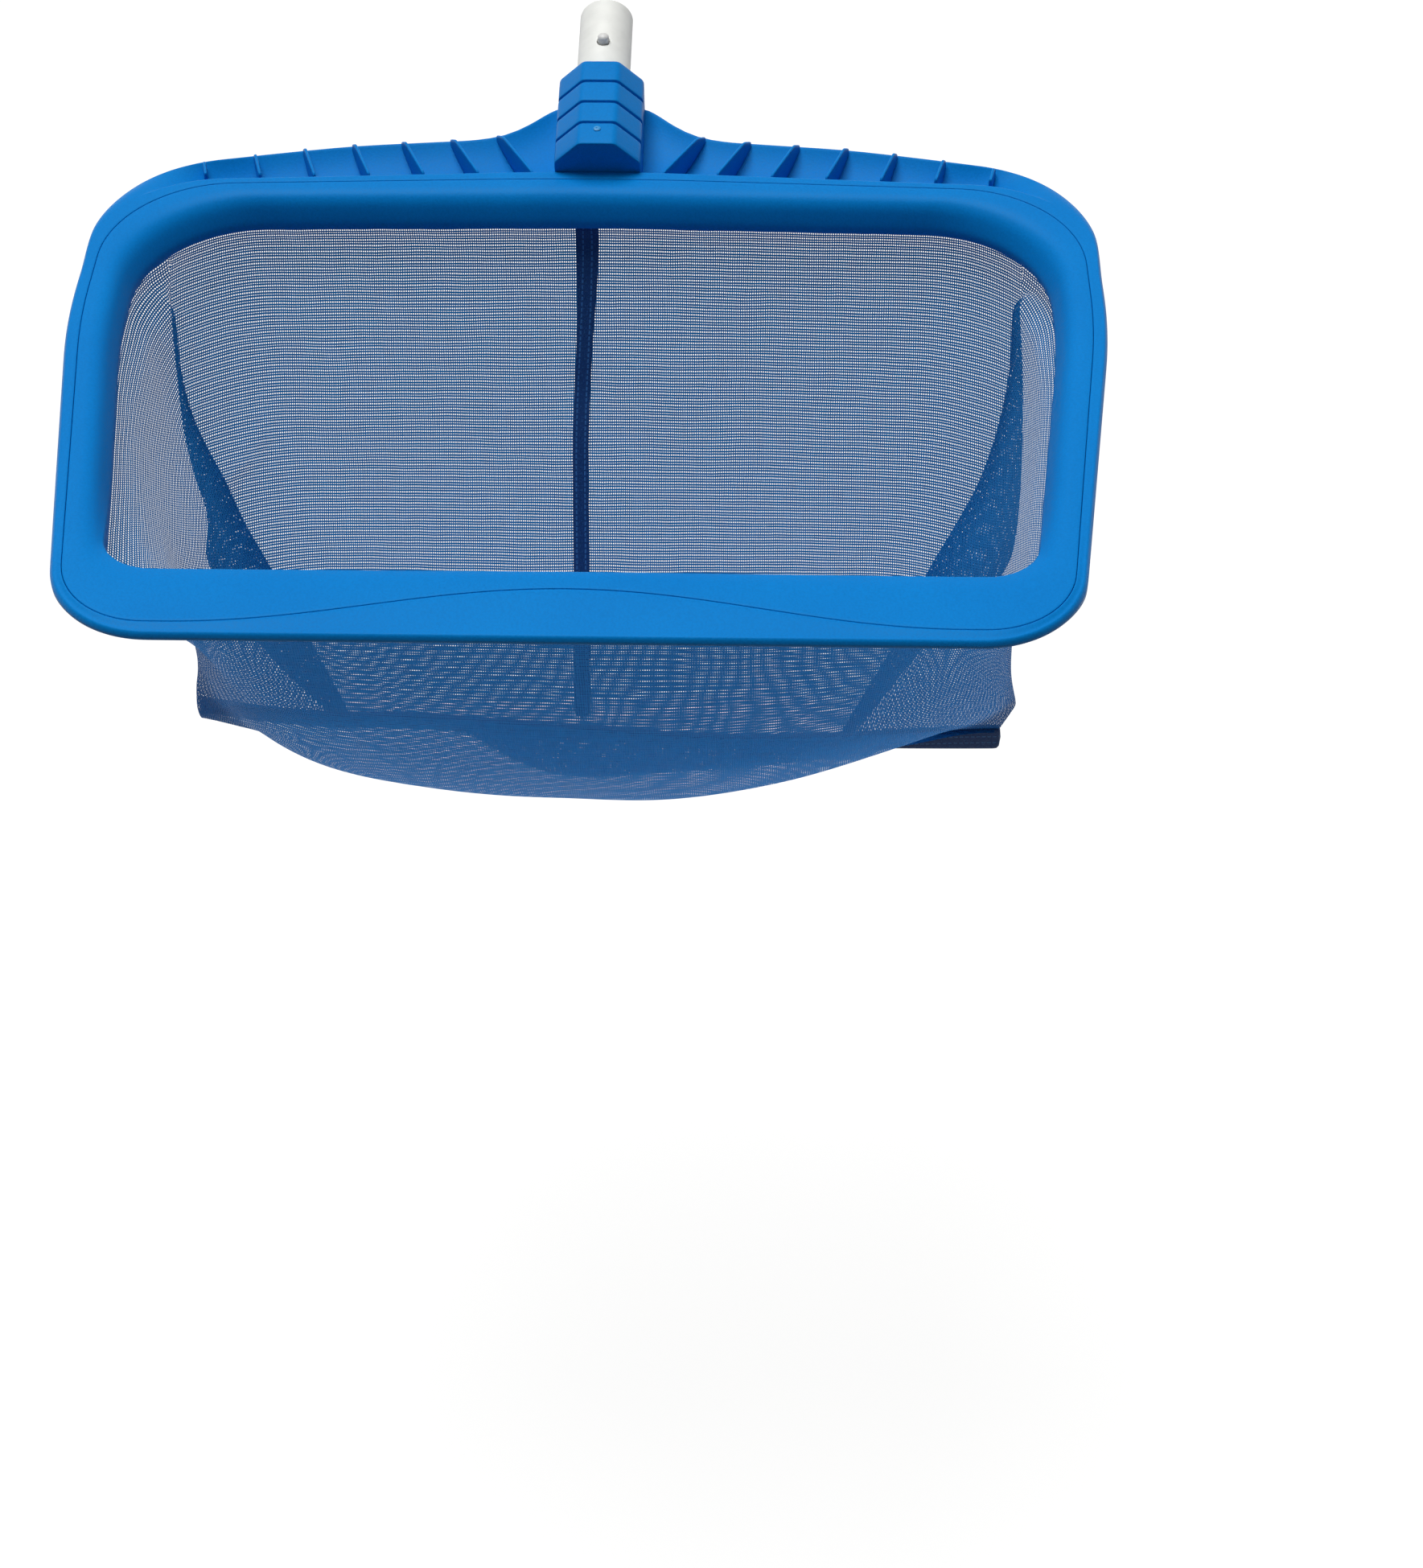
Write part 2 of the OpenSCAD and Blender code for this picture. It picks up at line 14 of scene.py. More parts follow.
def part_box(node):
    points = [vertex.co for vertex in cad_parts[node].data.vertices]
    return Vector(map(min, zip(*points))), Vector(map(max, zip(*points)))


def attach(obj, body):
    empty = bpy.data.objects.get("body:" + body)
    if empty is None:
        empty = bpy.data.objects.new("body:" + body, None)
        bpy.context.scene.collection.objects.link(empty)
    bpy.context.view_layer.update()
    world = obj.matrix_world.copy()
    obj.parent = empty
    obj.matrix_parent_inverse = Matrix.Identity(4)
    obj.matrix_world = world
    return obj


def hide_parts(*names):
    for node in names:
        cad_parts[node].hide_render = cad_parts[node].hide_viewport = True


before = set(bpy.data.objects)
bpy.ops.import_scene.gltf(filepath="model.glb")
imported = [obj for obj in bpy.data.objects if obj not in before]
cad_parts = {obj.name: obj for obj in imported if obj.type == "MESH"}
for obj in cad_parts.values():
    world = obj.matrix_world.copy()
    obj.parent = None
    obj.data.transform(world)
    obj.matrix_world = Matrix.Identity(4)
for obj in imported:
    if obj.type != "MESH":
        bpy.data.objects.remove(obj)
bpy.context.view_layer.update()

MM = 0.001
LIP_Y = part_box("frame_hoop")[0].y
RIM_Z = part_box("frame_hoop")[1].z
TILT = math.radians(7)

# ---- dimensions in mm and degrees, most of them the CAD's own ----
# Hoop: lip's half width and corner radius, greatest half width and its y, ledge's back edge
LIP_HALF, LIP_R = 230.5, 50
HOOP_HALF, WIDE_Y = 257.5, 225
LEDGE_BACK = 351
SKIRT = 22
WALL = 3
LIP_EDGE = 1.8
CORNER_R, SIDE_R, BACK_R = 66, 400, 1500
# Inner ring: height, the mouth's back edge, and how far the parting line arches on the lip
RING_H = 18
MOUTH_BACK = LEDGE_BACK - 25.5
LIP_ARCH, ARCH_HALF = 24, 178
# Narrower than the CAD's 0.35, where the solids need room
PART_GAP = 0.18
SHELF_Z, SHELF_W = -3.3, 5
# Handle flange: its tray's depth, and the corner where it meets the socket
TRAY_DEPTH = 16
ROOT_X, ROOT_Y = 22.8, 413.5
RIB_FIRST, RIB_PITCH, RIB_FAN, RIB_FAN_STEP = 33.4, 28.4, 29, 2.9
RIBS = 7
# Socket, tube stub, snap buttons and rivet, with y from the socket's rear face
SOCKET_AF, SOCKET_LEN = 45, 64
GROOVE_HALF, GROOVE_CUT = 1.0, 1.4
TUBE_R, TUBE_IN_R, TUBE_FREE, TUBE_HELD = 14.25, 12.75, 60, 57
BUTTON_Y, BUTTON_R, BUTTON_PROUD = 26, 3.0, 4.0
BUTTON_BASE_Z = TUBE_IN_R - 0.95
HOLE_R = 3.7
RIVET_Y = -53
# Net: bottom seam's y and half width, the half widths at which the pleat's two folds reach it,
# the y at which the folds and the front corner leave the hem, the hem's height, its distance
# outside the mouth, and how far the net runs on above it, hidden by the ring
SEAM_Y, SEAM_HALF, FOLD_HALF, PLEAT_HALF = 190, 214, 134, 146
FOLD_Y, PLEAT_Y, FRONT_Y = 290, 302, 52.5
HEM_Z, HEM_IN, HEM_HIDDEN = -26, WALL + 1.1, 14
# Seam tape: its width, which is wider than the CAD's 7, and how much wider it is at the top
TAPE_W, TAPE_FLARE = 8.5, 3.5
# Bottom binding: height, how much it grows to the right, how far it runs past the seam, thickness
BINDING_H, BINDING_RISE, BINDING_PAST, BINDING_T = 9.5, 6, 4, 4.6


# ---- small helpers ----

def hoop(points):
    """Hoop coordinates in mm to the row frame in metres."""
    p = np.asarray(points, float) * MM
    return p + np.array([0, LIP_Y, RIM_Z])


def tube(points):
    """Tube coordinates in mm, y along the tube from the socket's rear face, to the row frame."""
    p = np.asarray(points, float).reshape(-1, 3) * MM
    c, s = math.cos(TILT), math.sin(TILT)
    return np.stack([p[:, 0], p[:, 1] * c - p[:, 2] * s, p[:, 1] * s + p[:, 2] * c], 1)


def mix(a, b, t):
    return a + (b - a) * t


def smooth(t):
    t = np.clip(t, 0, 1)
    return t * t * (3 - 2 * t)


def unit(v):
    return v / np.maximum(np.linalg.norm(v, axis=-1, keepdims=True), 1e-9)


def run_along(line):
    """The distance along a line to each of its points."""
    steps = np.linalg.norm(np.diff(line, axis=0), axis=1)
    return np.concatenate([[0], np.cumsum(steps)])


# ---- outlines with rounded corners ----

# Points on each corner's arc, and on the straight run after it
ARC_N = (16, 8, 22, 8, 22, 8, 16)
RUN_N = (16, 8, 18, 18, 8, 16, 44)


def arc_points(p, c, q, n):
    """The arc that rounds corner c, which is (x, y, radius), between its neighbours p and q."""
    p, q, at = (np.array(v[:2], float) for v in (p, q, c))
    r = c[2] if len(c) > 2 else 0
    d1, d2 = unit(p - at), unit(q - at)
    half = math.acos(np.clip(d1 @ d2, -1, 1)) / 2
    centre = at + unit(d1 + d2) * r / math.sin(half)
    a, b = at + d1 * r / math.tan(half) - centre, at + d2 * r / math.tan(half) - centre
    a1, a2 = math.atan2(a[1], a[0]), math.atan2(b[1], b[0])
    turn = (a2 - a1 + math.pi * 3) % (math.pi * 2) - math.pi
    t = a1 + turn * np.linspace(0, 1, n + 1)
    return centre + r * np.stack([np.cos(t), np.sin(t)], 1)


def run_points(a, b, n):
    return [mix(a, b, k / (n + 1)) for k in range(1, n + 1)]


def both_sides(half):
    return list(half) + [(-c[0], c[1], c[2]) for c in half[-2::-1]]


def outline(half):
    """A closed outline from its right-hand corners, with the same stations for every outline."""
    corners = both_sides(half)
    m = len(corners)
    arcs = [arc_points(corners[k - 1], corners[k], corners[(k + 1) % m], ARC_N[k])
            for k in range(m)]
    points = []
    for k in range(m):
        points += list(arcs[k]) + run_points(arcs[k][-1], arcs[(k + 1) % m][0], RUN_N[k])
    return np.array(points)


def open_run(corners, arc_n=24, run_n=24):
    """An open outline, with the same number of points for every run of as many corners."""
    parts = [np.array([corners[0][:2]], float)]
    for k in range(1, len(corners) - 1):
        parts.append(arc_points(corners[k - 1], corners[k], corners[k + 1], arc_n))
    parts.append(np.array([corners[-1][:2]], float))
    points = list(parts[0])
    for a in parts[1:]:
        points += run_points(points[-1], a[0], run_n) + list(a)
    return np.array(points)


def outer(d):
    """The hoop's outside at the ledge, moved in by d."""
    return outline([
        (LIP_HALF - d, d, LIP_R - d), (HOOP_HALF - d, WIDE_Y, SIDE_R),
        (HOOP_HALF - 3 - d, LEDGE_BACK - 11.5 - d, CORNER_R - d), (0, LEDGE_BACK + 1 - d, 900)])


def parting(d):
    """The line between hoop and inner ring, moved in by d, with its arch on the lip."""
    p = outline([
        (LIP_HALF - 4.5 - d, 7.6 + d, 42 - d / 2), (HOOP_HALF - 7.5 - d, WIDE_Y, SIDE_R),
        (HOOP_HALF - 9.5 - d, LEDGE_BACK - 15 - d, 64 - d / 2), (0, LEDGE_BACK - 5.6 - d, BACK_R)])
    rise = LIP_ARCH * (1 + np.cos(math.pi * np.minimum(1, abs(p[:, 0]) / ARCH_HALF))) / 2
    return p + np.stack([p[:, 0] * 0, rise * (1 - smooth(p[:, 1] / 30 - 0.4))], 1)


def mouth(d):
    """The bag's mouth inside the ring, moved out by d."""
    return outline([
        (LIP_HALF - 18 + d, 46 - d, 25 + d), (HOOP_HALF - 25 + d, WIDE_Y, SIDE_R),
        (HOOP_HALF - 26.5 + d, MOUTH_BACK - 5 + d, 64 + d), (0, MOUTH_BACK + d, BACK_R)])


def lip_share(y):
    """1 on the flat scooping lip and 0 behind it."""
    return 1 - smooth((y - 15) / 75)


# ---- meshes ----

def add_mesh(name, points, faces, slot, nodes, levels=1, body="head", uv=None):
    """A piece from row-frame points, riding on a body and standing for CAD nodes."""
    data = bpy.data.meshes.new(name)
    data.from_pydata([tuple(p) for p in points], [], [tuple(f) for f in faces])
    if uv is not None:
        layer = data.uv_layers.new(name="cloth")
        for loop in data.loops:
            layer.data[loop.index].uv = uv[loop.vertex_index]
    bm = bmesh.new()
    bm.from_mesh(data)
    bmesh.ops.recalc_face_normals(bm, faces=bm.faces)
    bm.to_mesh(data)
    bm.free()
    data.shade_smooth()
    obj = bpy.data.objects.new(name, data)
    bpy.context.scene.collection.objects.link(obj)
    if levels:
        sub = obj.modifiers.new("subdivision", "SUBSURF")
        sub.levels = sub.render_levels = levels
    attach(obj, body)
    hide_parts(*nodes)
    data.materials.append(MATERIALS[slot])
    return obj


def ring_faces(rows, cols):
    """Faces of a closed ring of closed sections."""
    return [(j * cols + i, j * cols + (i + 1) % cols,
             (j + 1) % rows * cols + (i + 1) % cols, (j + 1) % rows * cols + i)
            for j in range(rows) for i in range(cols)]


def grid_faces(rows, cols):
    """Faces of an open sheet."""
    return [(j * cols + i, j * cols + i + 1, (j + 1) * cols + i + 1, (j + 1) * cols + i)
            for j in range(rows - 1) for i in range(cols - 1)]


def bar_faces(rows, cols):
    """Faces of an open run of closed sections, with a cap at each end."""
    faces = [(j * cols + i, j * cols + (i + 1) % cols,
              (j + 1) * cols + (i + 1) % cols, (j + 1) * cols + i)
             for j in range(rows - 1) for i in range(cols)]
    return faces + [tuple(range(cols)), tuple((rows - 1) * cols + i for i in range(cols))]


# ---- materials ----

def new_material(name, colour, roughness, **inputs):
    material = bpy.data.materials.new(name)
    material.use_nodes = True
    tree = material.node_tree
    shader = tree.nodes["Principled BSDF"]
    shader.inputs["Base Color"].default_value = (*colour, 1)
    shader.inputs["Roughness"].default_value = roughness
    for key, value in inputs.items():
        shader.inputs[key.replace("_", " ")].default_value = value
    return material, tree, shader


def node(tree, kind, inputs=None, **settings):
    made = tree.nodes.new(kind)
    for key, value in settings.items():
        setattr(made, key, value)
    for key, value in (inputs or {}).items():
        socket = made.inputs[key]
        if isinstance(value, bpy.types.NodeSocket):
            tree.links.new(value, socket)
        else:
            socket.default_value = value
    return made


def math_node(tree, operation, *values):
    return node(tree, "ShaderNodeMath", dict(enumerate(values)), operation=operation).outputs[0]


def noise_value(tree, vector, scale, detail=3.0):
    inputs = {"Vector": vector, "Scale": scale, "Detail": detail, "Roughness": 0.5}
    return node(tree, "ShaderNodeTexNoise", inputs).outputs["Fac"]


def ramp(tree, value, low, high, to_low, to_high):
    """A value carried from the range low to high onto to_low to to_high, and held at its ends."""
    inputs = {"Value": value, "From Min": low, "From Max": high,
              "To Min": to_low, "To Max": to_high}
    return node(tree, "ShaderNodeMapRange", inputs).outputs[0]


def mixed_colour(tree, factor, a, b):
    made = node(tree, "ShaderNodeMix", {"Factor": factor}, data_type="RGBA")
    for socket, value in ((made.inputs[6], a), (made.inputs[7], b)):
        if isinstance(value, bpy.types.NodeSocket):
            tree.links.new(value, socket)
        else:
            socket.default_value = (*value, 1)
    return made.outputs[2]


def bump(tree, height, strength, distance, before=None):
    inputs = {"Height": height, "Strength": strength, "Distance": distance}
    if before is not None:
        inputs["Normal"] = before
    return node(tree, "ShaderNodeBump", inputs).outputs[0]


def moulded_plastic(name, colour, deep, roughness, level=0.12, tint=(0.3, 0.66, 1, 1)):
    """Satin moulded plastic: a fine even grain, soft flow marks, and a painted highlight that
    lightens convex edges.
    """
    material, tree, shader = new_material(name, colour, roughness, Specular_IOR_Level=level)
    shader.inputs["Specular Tint"].default_value = tint
    at = node(tree, "ShaderNodeTexCoord").outputs["Object"]
    flow = noise_value(tree, at, 14, 4)
    grain = noise_value(tree, at, 2600, 2)
    fine = noise_value(tree, at, 900, 3)
    edges = node(tree, "ShaderNodeNewGeometry").outputs["Pointiness"]
    # Painted highlight: convex edges are drawn in a lighter colour.
    edge_highlight = ramp(tree, edges, 0.52, 0.62, 0, 0.22)
    body = mixed_colour(tree, ramp(tree, flow, 0.3, 0.7, 0, 1), deep, colour)
    light = tuple(min(1, c * 1.15 + 0.01) for c in colour)
    shaded = tuple(c * 0.6 for c in deep)
    body = mixed_colour(tree, ramp(tree, fine, 0.35, 0.62, 0.22, 0), body, shaded)
    tree.links.new(mixed_colour(tree, edge_highlight, body, light), shader.inputs["Base Color"])
    rough = ramp(tree, fine, 0.3, 0.7, roughness - 0.05, roughness + 0.09)
    tree.links.new(rough, shader.inputs["Roughness"])
    normal = bump(tree, fine, 0.2, 0.0004, bump(tree, flow, 0.1, 0.0016))
    tree.links.new(bump(tree, grain, 0.18, 0.00012, normal), shader.inputs["Normal"])
    return material


def metal(name, colour, roughness, stretch, metallic=1.0):
    """Coated or bare metal with fine drawn lines along one direction."""
    material, tree, shader = new_material(name, colour, roughness, Metallic=metallic)
    at = node(tree, "ShaderNodeTexCoord").outputs["Object"]
    drawn = node(tree, "ShaderNodeMapping", {"Vector": at, "Scale": stretch}).outputs[0]
    lines = noise_value(tree, drawn, 700, 3)
    spots = noise_value(tree, at, 90, 4)
    rough = ramp(tree, lines, 0.3, 0.7, roughness - 0.06, roughness + 0.08)
    tree.links.new(rough, shader.inputs["Roughness"])
    dark = tuple(c * 0.93 for c in colour)
    body = mixed_colour(tree, ramp(tree, spots, 0.35, 0.65, 0, 1), dark, colour)
    tree.links.new(body, shader.inputs["Base Color"])
    tree.links.new(bump(tree, lines, 0.12, 0.00008), shader.inputs["Normal"])
    return material


# How soft a thread's edge is, as a share of the pitch
THREAD_EDGE = 0.06


def thread_mask(tree, coordinate, pitch, half_width, wobble):
    """1 on the threads that run across this coordinate, which is in metres, and 0 between them."""
    share = math_node(tree, "ADD", math_node(tree, "DIVIDE", coordinate, pitch), wobble)
    away = math_node(tree, "SUBTRACT", math_node(tree, "FRACT", share), 0.5)
    away = math_node(tree, "ABSOLUTE", away)
    inner = math_node(tree, "SUBTRACT", half_width, THREAD_EDGE)
    return ramp(tree, away, inner, math_node(tree, "ADD", half_width, THREAD_EDGE), 1, 0)


def woven_net(name, thread, light, pitch, half_width):
    """Open net of crossing threads: see-through between them, and the threads let some light
    through. Every other row is a little thicker, so that rows show. The pitch, in metres, and
    the threads' half width, as a share of it, are for across and down."""
    material, tree, shader = new_material(
        name, thread, 0.6, Specular_IOR_Level=0.12, Sheen_Weight=0.08, Sheen_Roughness=0.5)
    shader.inputs["Specular Tint"].default_value = (0.3, 0.62, 1, 1)
    shader.inputs["Sheen Tint"].default_value = (0.3, 0.6, 1, 1)
    uv = node(tree, "ShaderNodeUVMap", uv_map="cloth").outputs[0]
    split = node(tree, "ShaderNodeSeparateXYZ", {"Vector": uv})
    drift = noise_value(tree, uv, 30, 2)
    loose = noise_value(tree, uv, 300, 1)
    wobble_u, wobble_v = (
        math_node(tree, "ADD", ramp(tree, drift, 0, 1, -wide, wide),
                  ramp(tree, loose, 0, 1, -small, small))
        for wide, small in ((0.8, 0.1), (-0.5, -0.06)))
    place = math_node(tree, "DIVIDE", split.outputs["Y"], pitch[1] * 2)
    pair = math_node(tree, "ADD", place, math_node(tree, "MULTIPLY", wobble_v, 0.5))
    row_turn = math_node(tree, "PINGPONG", math_node(tree, "FRACT", pair), 0.5)
    row = ramp(tree, row_turn, 0.1, 0.4, half_width[1] - 0.06, half_width[1] + 0.06)
    across = thread_mask(tree, split.outputs["X"], pitch[0], half_width[0], wobble_u)
    along = thread_mask(tree, split.outputs["Y"], pitch[1], row, wobble_v)
    cover = math_node(tree, "MAXIMUM", across, along)
    height = math_node(tree, "ADD", across, along)
    shade = noise_value(tree, uv, 160, 3)
    fleck = ramp(tree, noise_value(tree, uv, 230, 1), 0.75, 0.8, 0, 0.4)
    body = mixed_colour(tree, ramp(tree, shade, 0.3, 0.7, 0, 1), thread, light)
    colour = mixed_colour(tree, fleck, body, (0.3, 0.48, 0.72))
    normal = bump(tree, height, 0.35, 0.00025)
    tree.links.new(colour, shader.inputs["Base Color"])
    tree.links.new(ramp(tree, shade, 0.3, 0.7, 0.5, 0.7), shader.inputs["Roughness"])
    tree.links.new(normal, shader.inputs["Normal"])
    through = node(tree, "ShaderNodeBsdfTranslucent", {"Color": colour, "Normal": normal})
    cloth = node(tree, "ShaderNodeMixShader",
                 {0: 0.45, 1: shader.outputs[0], 2: through.outputs[0]})
    clear = node(tree, "ShaderNodeBsdfTransparent")
    surface = node(tree, "ShaderNodeMixShader",
                   {0: cover, 1: clear.outputs[0], 2: cloth.outputs[0]})
    tree.links.new(surface.outputs[0], tree.nodes["Material Output"].inputs["Surface"])
    return material


# In metres: the tape's weave, its two lines of stitches from its middle, and a stitch's length
TAPE_WEAVE, STITCH_LINE, STITCH_PITCH = 0.0008, 0.0023, 0.003


def seam_tape(name, colour, light):
    """Close-woven tape with pale flecks that are painted sheen glints, and two lines of stitches.
    """
    material, tree, shader = new_material(
        name, colour, 0.6, Specular_IOR_Level=0.15, Sheen_Weight=0.08, Sheen_Roughness=0.45)
    uv = node(tree, "ShaderNodeUVMap", uv_map="cloth").outputs[0]
    split = node(tree, "ShaderNodeSeparateXYZ", {"Vector": uv})
    loose = noise_value(tree, uv, 500, 3)
    wobble = ramp(tree, loose, 0, 1, -0.2, 0.2)
    across = thread_mask(tree, split.outputs["X"], TAPE_WEAVE, 0.36, wobble)
    along = thread_mask(tree, split.outputs["Y"], TAPE_WEAVE, 0.4, wobble)
    weave = math_node(tree, "MULTIPLY", across, along)
    # Painted glints: sparse pale flecks of sheen on the weave.
    spots = ramp(tree, noise_value(tree, uv, 900, 2), 0.55, 0.7, 0, 1)
    fleck = math_node(tree, "MULTIPLY", spots, 0.6)
    middle = math_node(tree, "ABSOLUTE", split.outputs["X"])
    beside = math_node(tree, "ABSOLUTE", math_node(tree, "SUBTRACT", middle, STITCH_LINE))
    dash = math_node(tree, "FRACT", math_node(tree, "DIVIDE", split.outputs["Y"], STITCH_PITCH))
    stitch = math_node(tree, "MULTIPLY", ramp(tree, beside, 0.0003, 0.0005, 1, 0),
                       ramp(tree, dash, 0.62, 0.7, 1, 0))
    pale = math_node(tree, "MAXIMUM", math_node(tree, "MULTIPLY", weave, fleck),
                     math_node(tree, "MULTIPLY", stitch, 0.8))
    tree.links.new(mixed_colour(tree, pale, colour, light), shader.inputs["Base Color"])
    tree.links.new(ramp(tree, loose, 0.3, 0.7, 0.5, 0.7), shader.inputs["Roughness"])
    tree.links.new(bump(tree, weave, 0.5, 0.0002), shader.inputs["Normal"])
    return material


BLUE, BLUE_DEEP = (0.0012, 0.225, 0.66), (0.001, 0.205, 0.62)
TUBE_WHITE, STEEL, RIVET_BLUE = (0.92, 0.93, 0.89), (0.62, 0.63, 0.65), (0.02, 0.3, 0.68)
BUTTON_GREY, BUTTON_DEEP = (0.8, 0.8, 0.78), (0.76, 0.76, 0.74)
NET_BLUE, NET_LIGHT = (0.012, 0.17, 0.48), (0.02, 0.21, 0.56)
NAVY, NAVY_LIGHT = (0.008, 0.055, 0.2), (0.05, 0.2, 0.5)
NET_PITCH, NET_HALF = (0.00115, 0.0015), (0.25, 0.31)
MATERIALS = {
    "blue_moulding": moulded_plastic("blue_moulding", BLUE, BLUE_DEEP, 0.42),
    "tube": metal("tube_white", TUBE_WHITE, 0.45, (1, 0.04, 1), 0.0),
    "spring_steel": metal("spring_steel", STEEL, 0.28, (1, 0.05, 1)),
    "button": moulded_plastic("button_grey", BUTTON_GREY, BUTTON_DEEP, 0.35, 0.5, (1, 1, 1, 1)),
    "rivet": metal("rivet_blue", RIVET_BLUE, 0.4, (1, 1, 1), 0.0),
    "net": woven_net("net", NET_BLUE, NET_LIGHT, NET_PITCH, NET_HALF),
    "binding": seam_tape("binding", NAVY, NAVY_LIGHT),
}


# ---- moulding: hoop, ledge, ribbed tray and skirt in one ----

# The tray's inner and outer edge on the right, from the socket to the hoop's side
LEDGE_RUN = open_run([
    (ROOT_X, LEDGE_BACK), (60, LEDGE_BACK - 0.4, 200), (140, LEDGE_BACK - 3.6, 300),
    (HOOP_HALF - 3, LEDGE_BACK - 10.8, CORNER_R), (HOOP_HALF - 0.75, WIDE_Y + 40)])
RIM_RUN = open_run([
    (ROOT_X, ROOT_Y), (50, 389, 40), (148, 379.5, 300), (HOOP_HALF - 1.7, 350, 80),
    (HOOP_HALF - 0.3, WIDE_Y + 40)])


def on_rim(p):
    """The point of the tray's outer edge that lies across from a point of the ledge."""
    x = abs(p[0])
    if x <= ROOT_X:
        return np.array([p[0], ROOT_Y])
    a, d = LEDGE_RUN[:-1], np.diff(LEDGE_RUN, axis=0)
    q = np.array([x, p[1]])
    t = np.clip(((q - a) * d).sum(1) / np.maximum((d * d).sum(1), 1e-9), 0, 1)
    k = int(np.argmin(np.linalg.norm(a + d * t[:, None] - q, axis=1)))
    r = mix(RIM_RUN[k], RIM_RUN[k + 1], t[k])
    return np.array([math.copysign(r[0], p[0]), r[1]])


def tray_depth(x, y):
    """How deep the tray is, which runs out towards the hoop's corners."""
    return TRAY_DEPTH * (1 - smooth((abs(x) - 188) / 52)) * (y > WIDE_Y)


def edge_z(x, y):
    """Height of the moulding's outer edge, which dips in the handle flange."""
    at_handle = mix(mix(-2.5, -6, smooth((abs(x) - ROOT_X) / 30)), -3, smooth((abs(x) - 150) / 90))
    return mix(-3 - 0.4 * lip_share(y), at_handle, smooth((y - 262) / 30))


# Where the outer edge leaves the hoop's outline for the handle flange
FLANGE_Y = 264


def build_moulding():
    """One closed section at each station of the outline: from the parting line over the ledge and
    the tray to the edge, down the skirt, and back underneath to the shelf under the ring."""
    gap = parting(-PART_GAP)
    shelf = parting(SHELF_W)
    out_side, out_ledge = outer(2.4), outer(0)
    sections = []
    for i in range(len(gap)):
        y = out_ledge[i][1]
        ledge = mix(out_side[i], out_ledge[i], smooth((y - 266) / 45))
        edge = out_ledge[i]
        if y > FLANGE_Y:
            edge = mix(edge, on_rim(edge), smooth((y - FLANGE_Y) / 30))
        lip = lip_share(y)
        z_ledge, z_edge, depth = -lip, edge_z(edge[0], y), tray_depth(edge[0], y)
        inward = unit(gap[i] - ledge)
        width = np.linalg.norm(ledge - gap[i])
        across = edge - ledge
        reach = max(np.linalg.norm(across), 1e-6)

        def floor(v):
            return mix(z_ledge - depth, z_edge, v ** 2.6)

        points = [
            (*gap[i], -0.8), (*gap[i], -0.28), (*mix(gap[i], ledge, min(0.4 / width, 0.2)), 0),
            (*mix(gap[i], ledge, 0.4), z_ledge * 0.4),
            (*(ledge + inward * min(0.8, width / 4)), z_ledge)]
        near_wall = ((0.05, 0.02), (0.5, 0.1), (1.0, 0.2), (1.8, 0.3), (3.4, 0.4))
        starts = [min(mm / reach, cap) for mm, cap in near_wall]
        for v, f in zip(starts, (0.02, 0.06, 0.5, 0.92, 1)):
            points.append((*(ledge + across * v), mix(z_ledge, floor(v), f)))
        for t in (0.2, 0.4, 0.58, 0.74, 0.87, 0.96, 1):
            v = mix(starts[-1], 1, t)
            points.append((*(ledge + across * v), floor(v)))
        skirt = mix(-SKIRT, z_edge - LIP_EDGE, lip)
        inner = edge + unit(gap[i] - edge) * WALL
        v_in = max(0.0, 1 - WALL / max(reach, WALL))
        deep = smooth((reach - 4) / 14)
        z_under = mix(-6.8, -5.8, lip)
        points += [(*edge, mix(z_edge, skirt, 0.12)), (*edge, mix(z_edge, skirt, 0.94)),
                   (*mix(edge, inner, 0.2), skirt), (*mix(edge, inner, 0.8), skirt - 0.2 * lip),
                   (*inner, mix(skirt, z_under, 0.06))]
        wall_in = ledge + inward * min(WALL, width / 2)
        for k, (spot, z) in enumerate((
                (inner, floor(v_in) - WALL), (ledge + across * min(0.5, v_in), floor(0.5) - WALL),
                (ledge + across * min(0.12, v_in), floor(0.1) - WALL), (wall_in, floor(0) - WALL),
                (wall_in, -7))):
            flat = inner + unit(gap[i] - edge) * 0.4 * (k + 1)
            points.append((*mix(flat, spot, deep), mix(z_under + 0.05 * k, z, deep)))
        points += [(*shelf[i], SHELF_Z - WALL), (*shelf[i], SHELF_Z), (*gap[i], SHELF_Z)]
        sections.append(points)
    flat = [p for s in sections for p in s]
    add_mesh("hoop_moulding", hoop(flat), ring_faces(len(sections), len(sections[0])),
             "blue_moulding", ("frame_hoop", "flange_left", "flange_right", "socket_cradle"))


# The ring's rounded top: share of the way from the parting line to the mouth, and height there
RING_S = (0, 0.02, 0.16, 0.3, 0.41, 0.52, 0.63, 0.74, 0.82, 0.9, 0.96, 1)
RING_Z = (-0.28, 0, 0, -0.05, -0.35, -0.9, -1.9, -3.9, -6.2, -9.4, -12, -14.2)


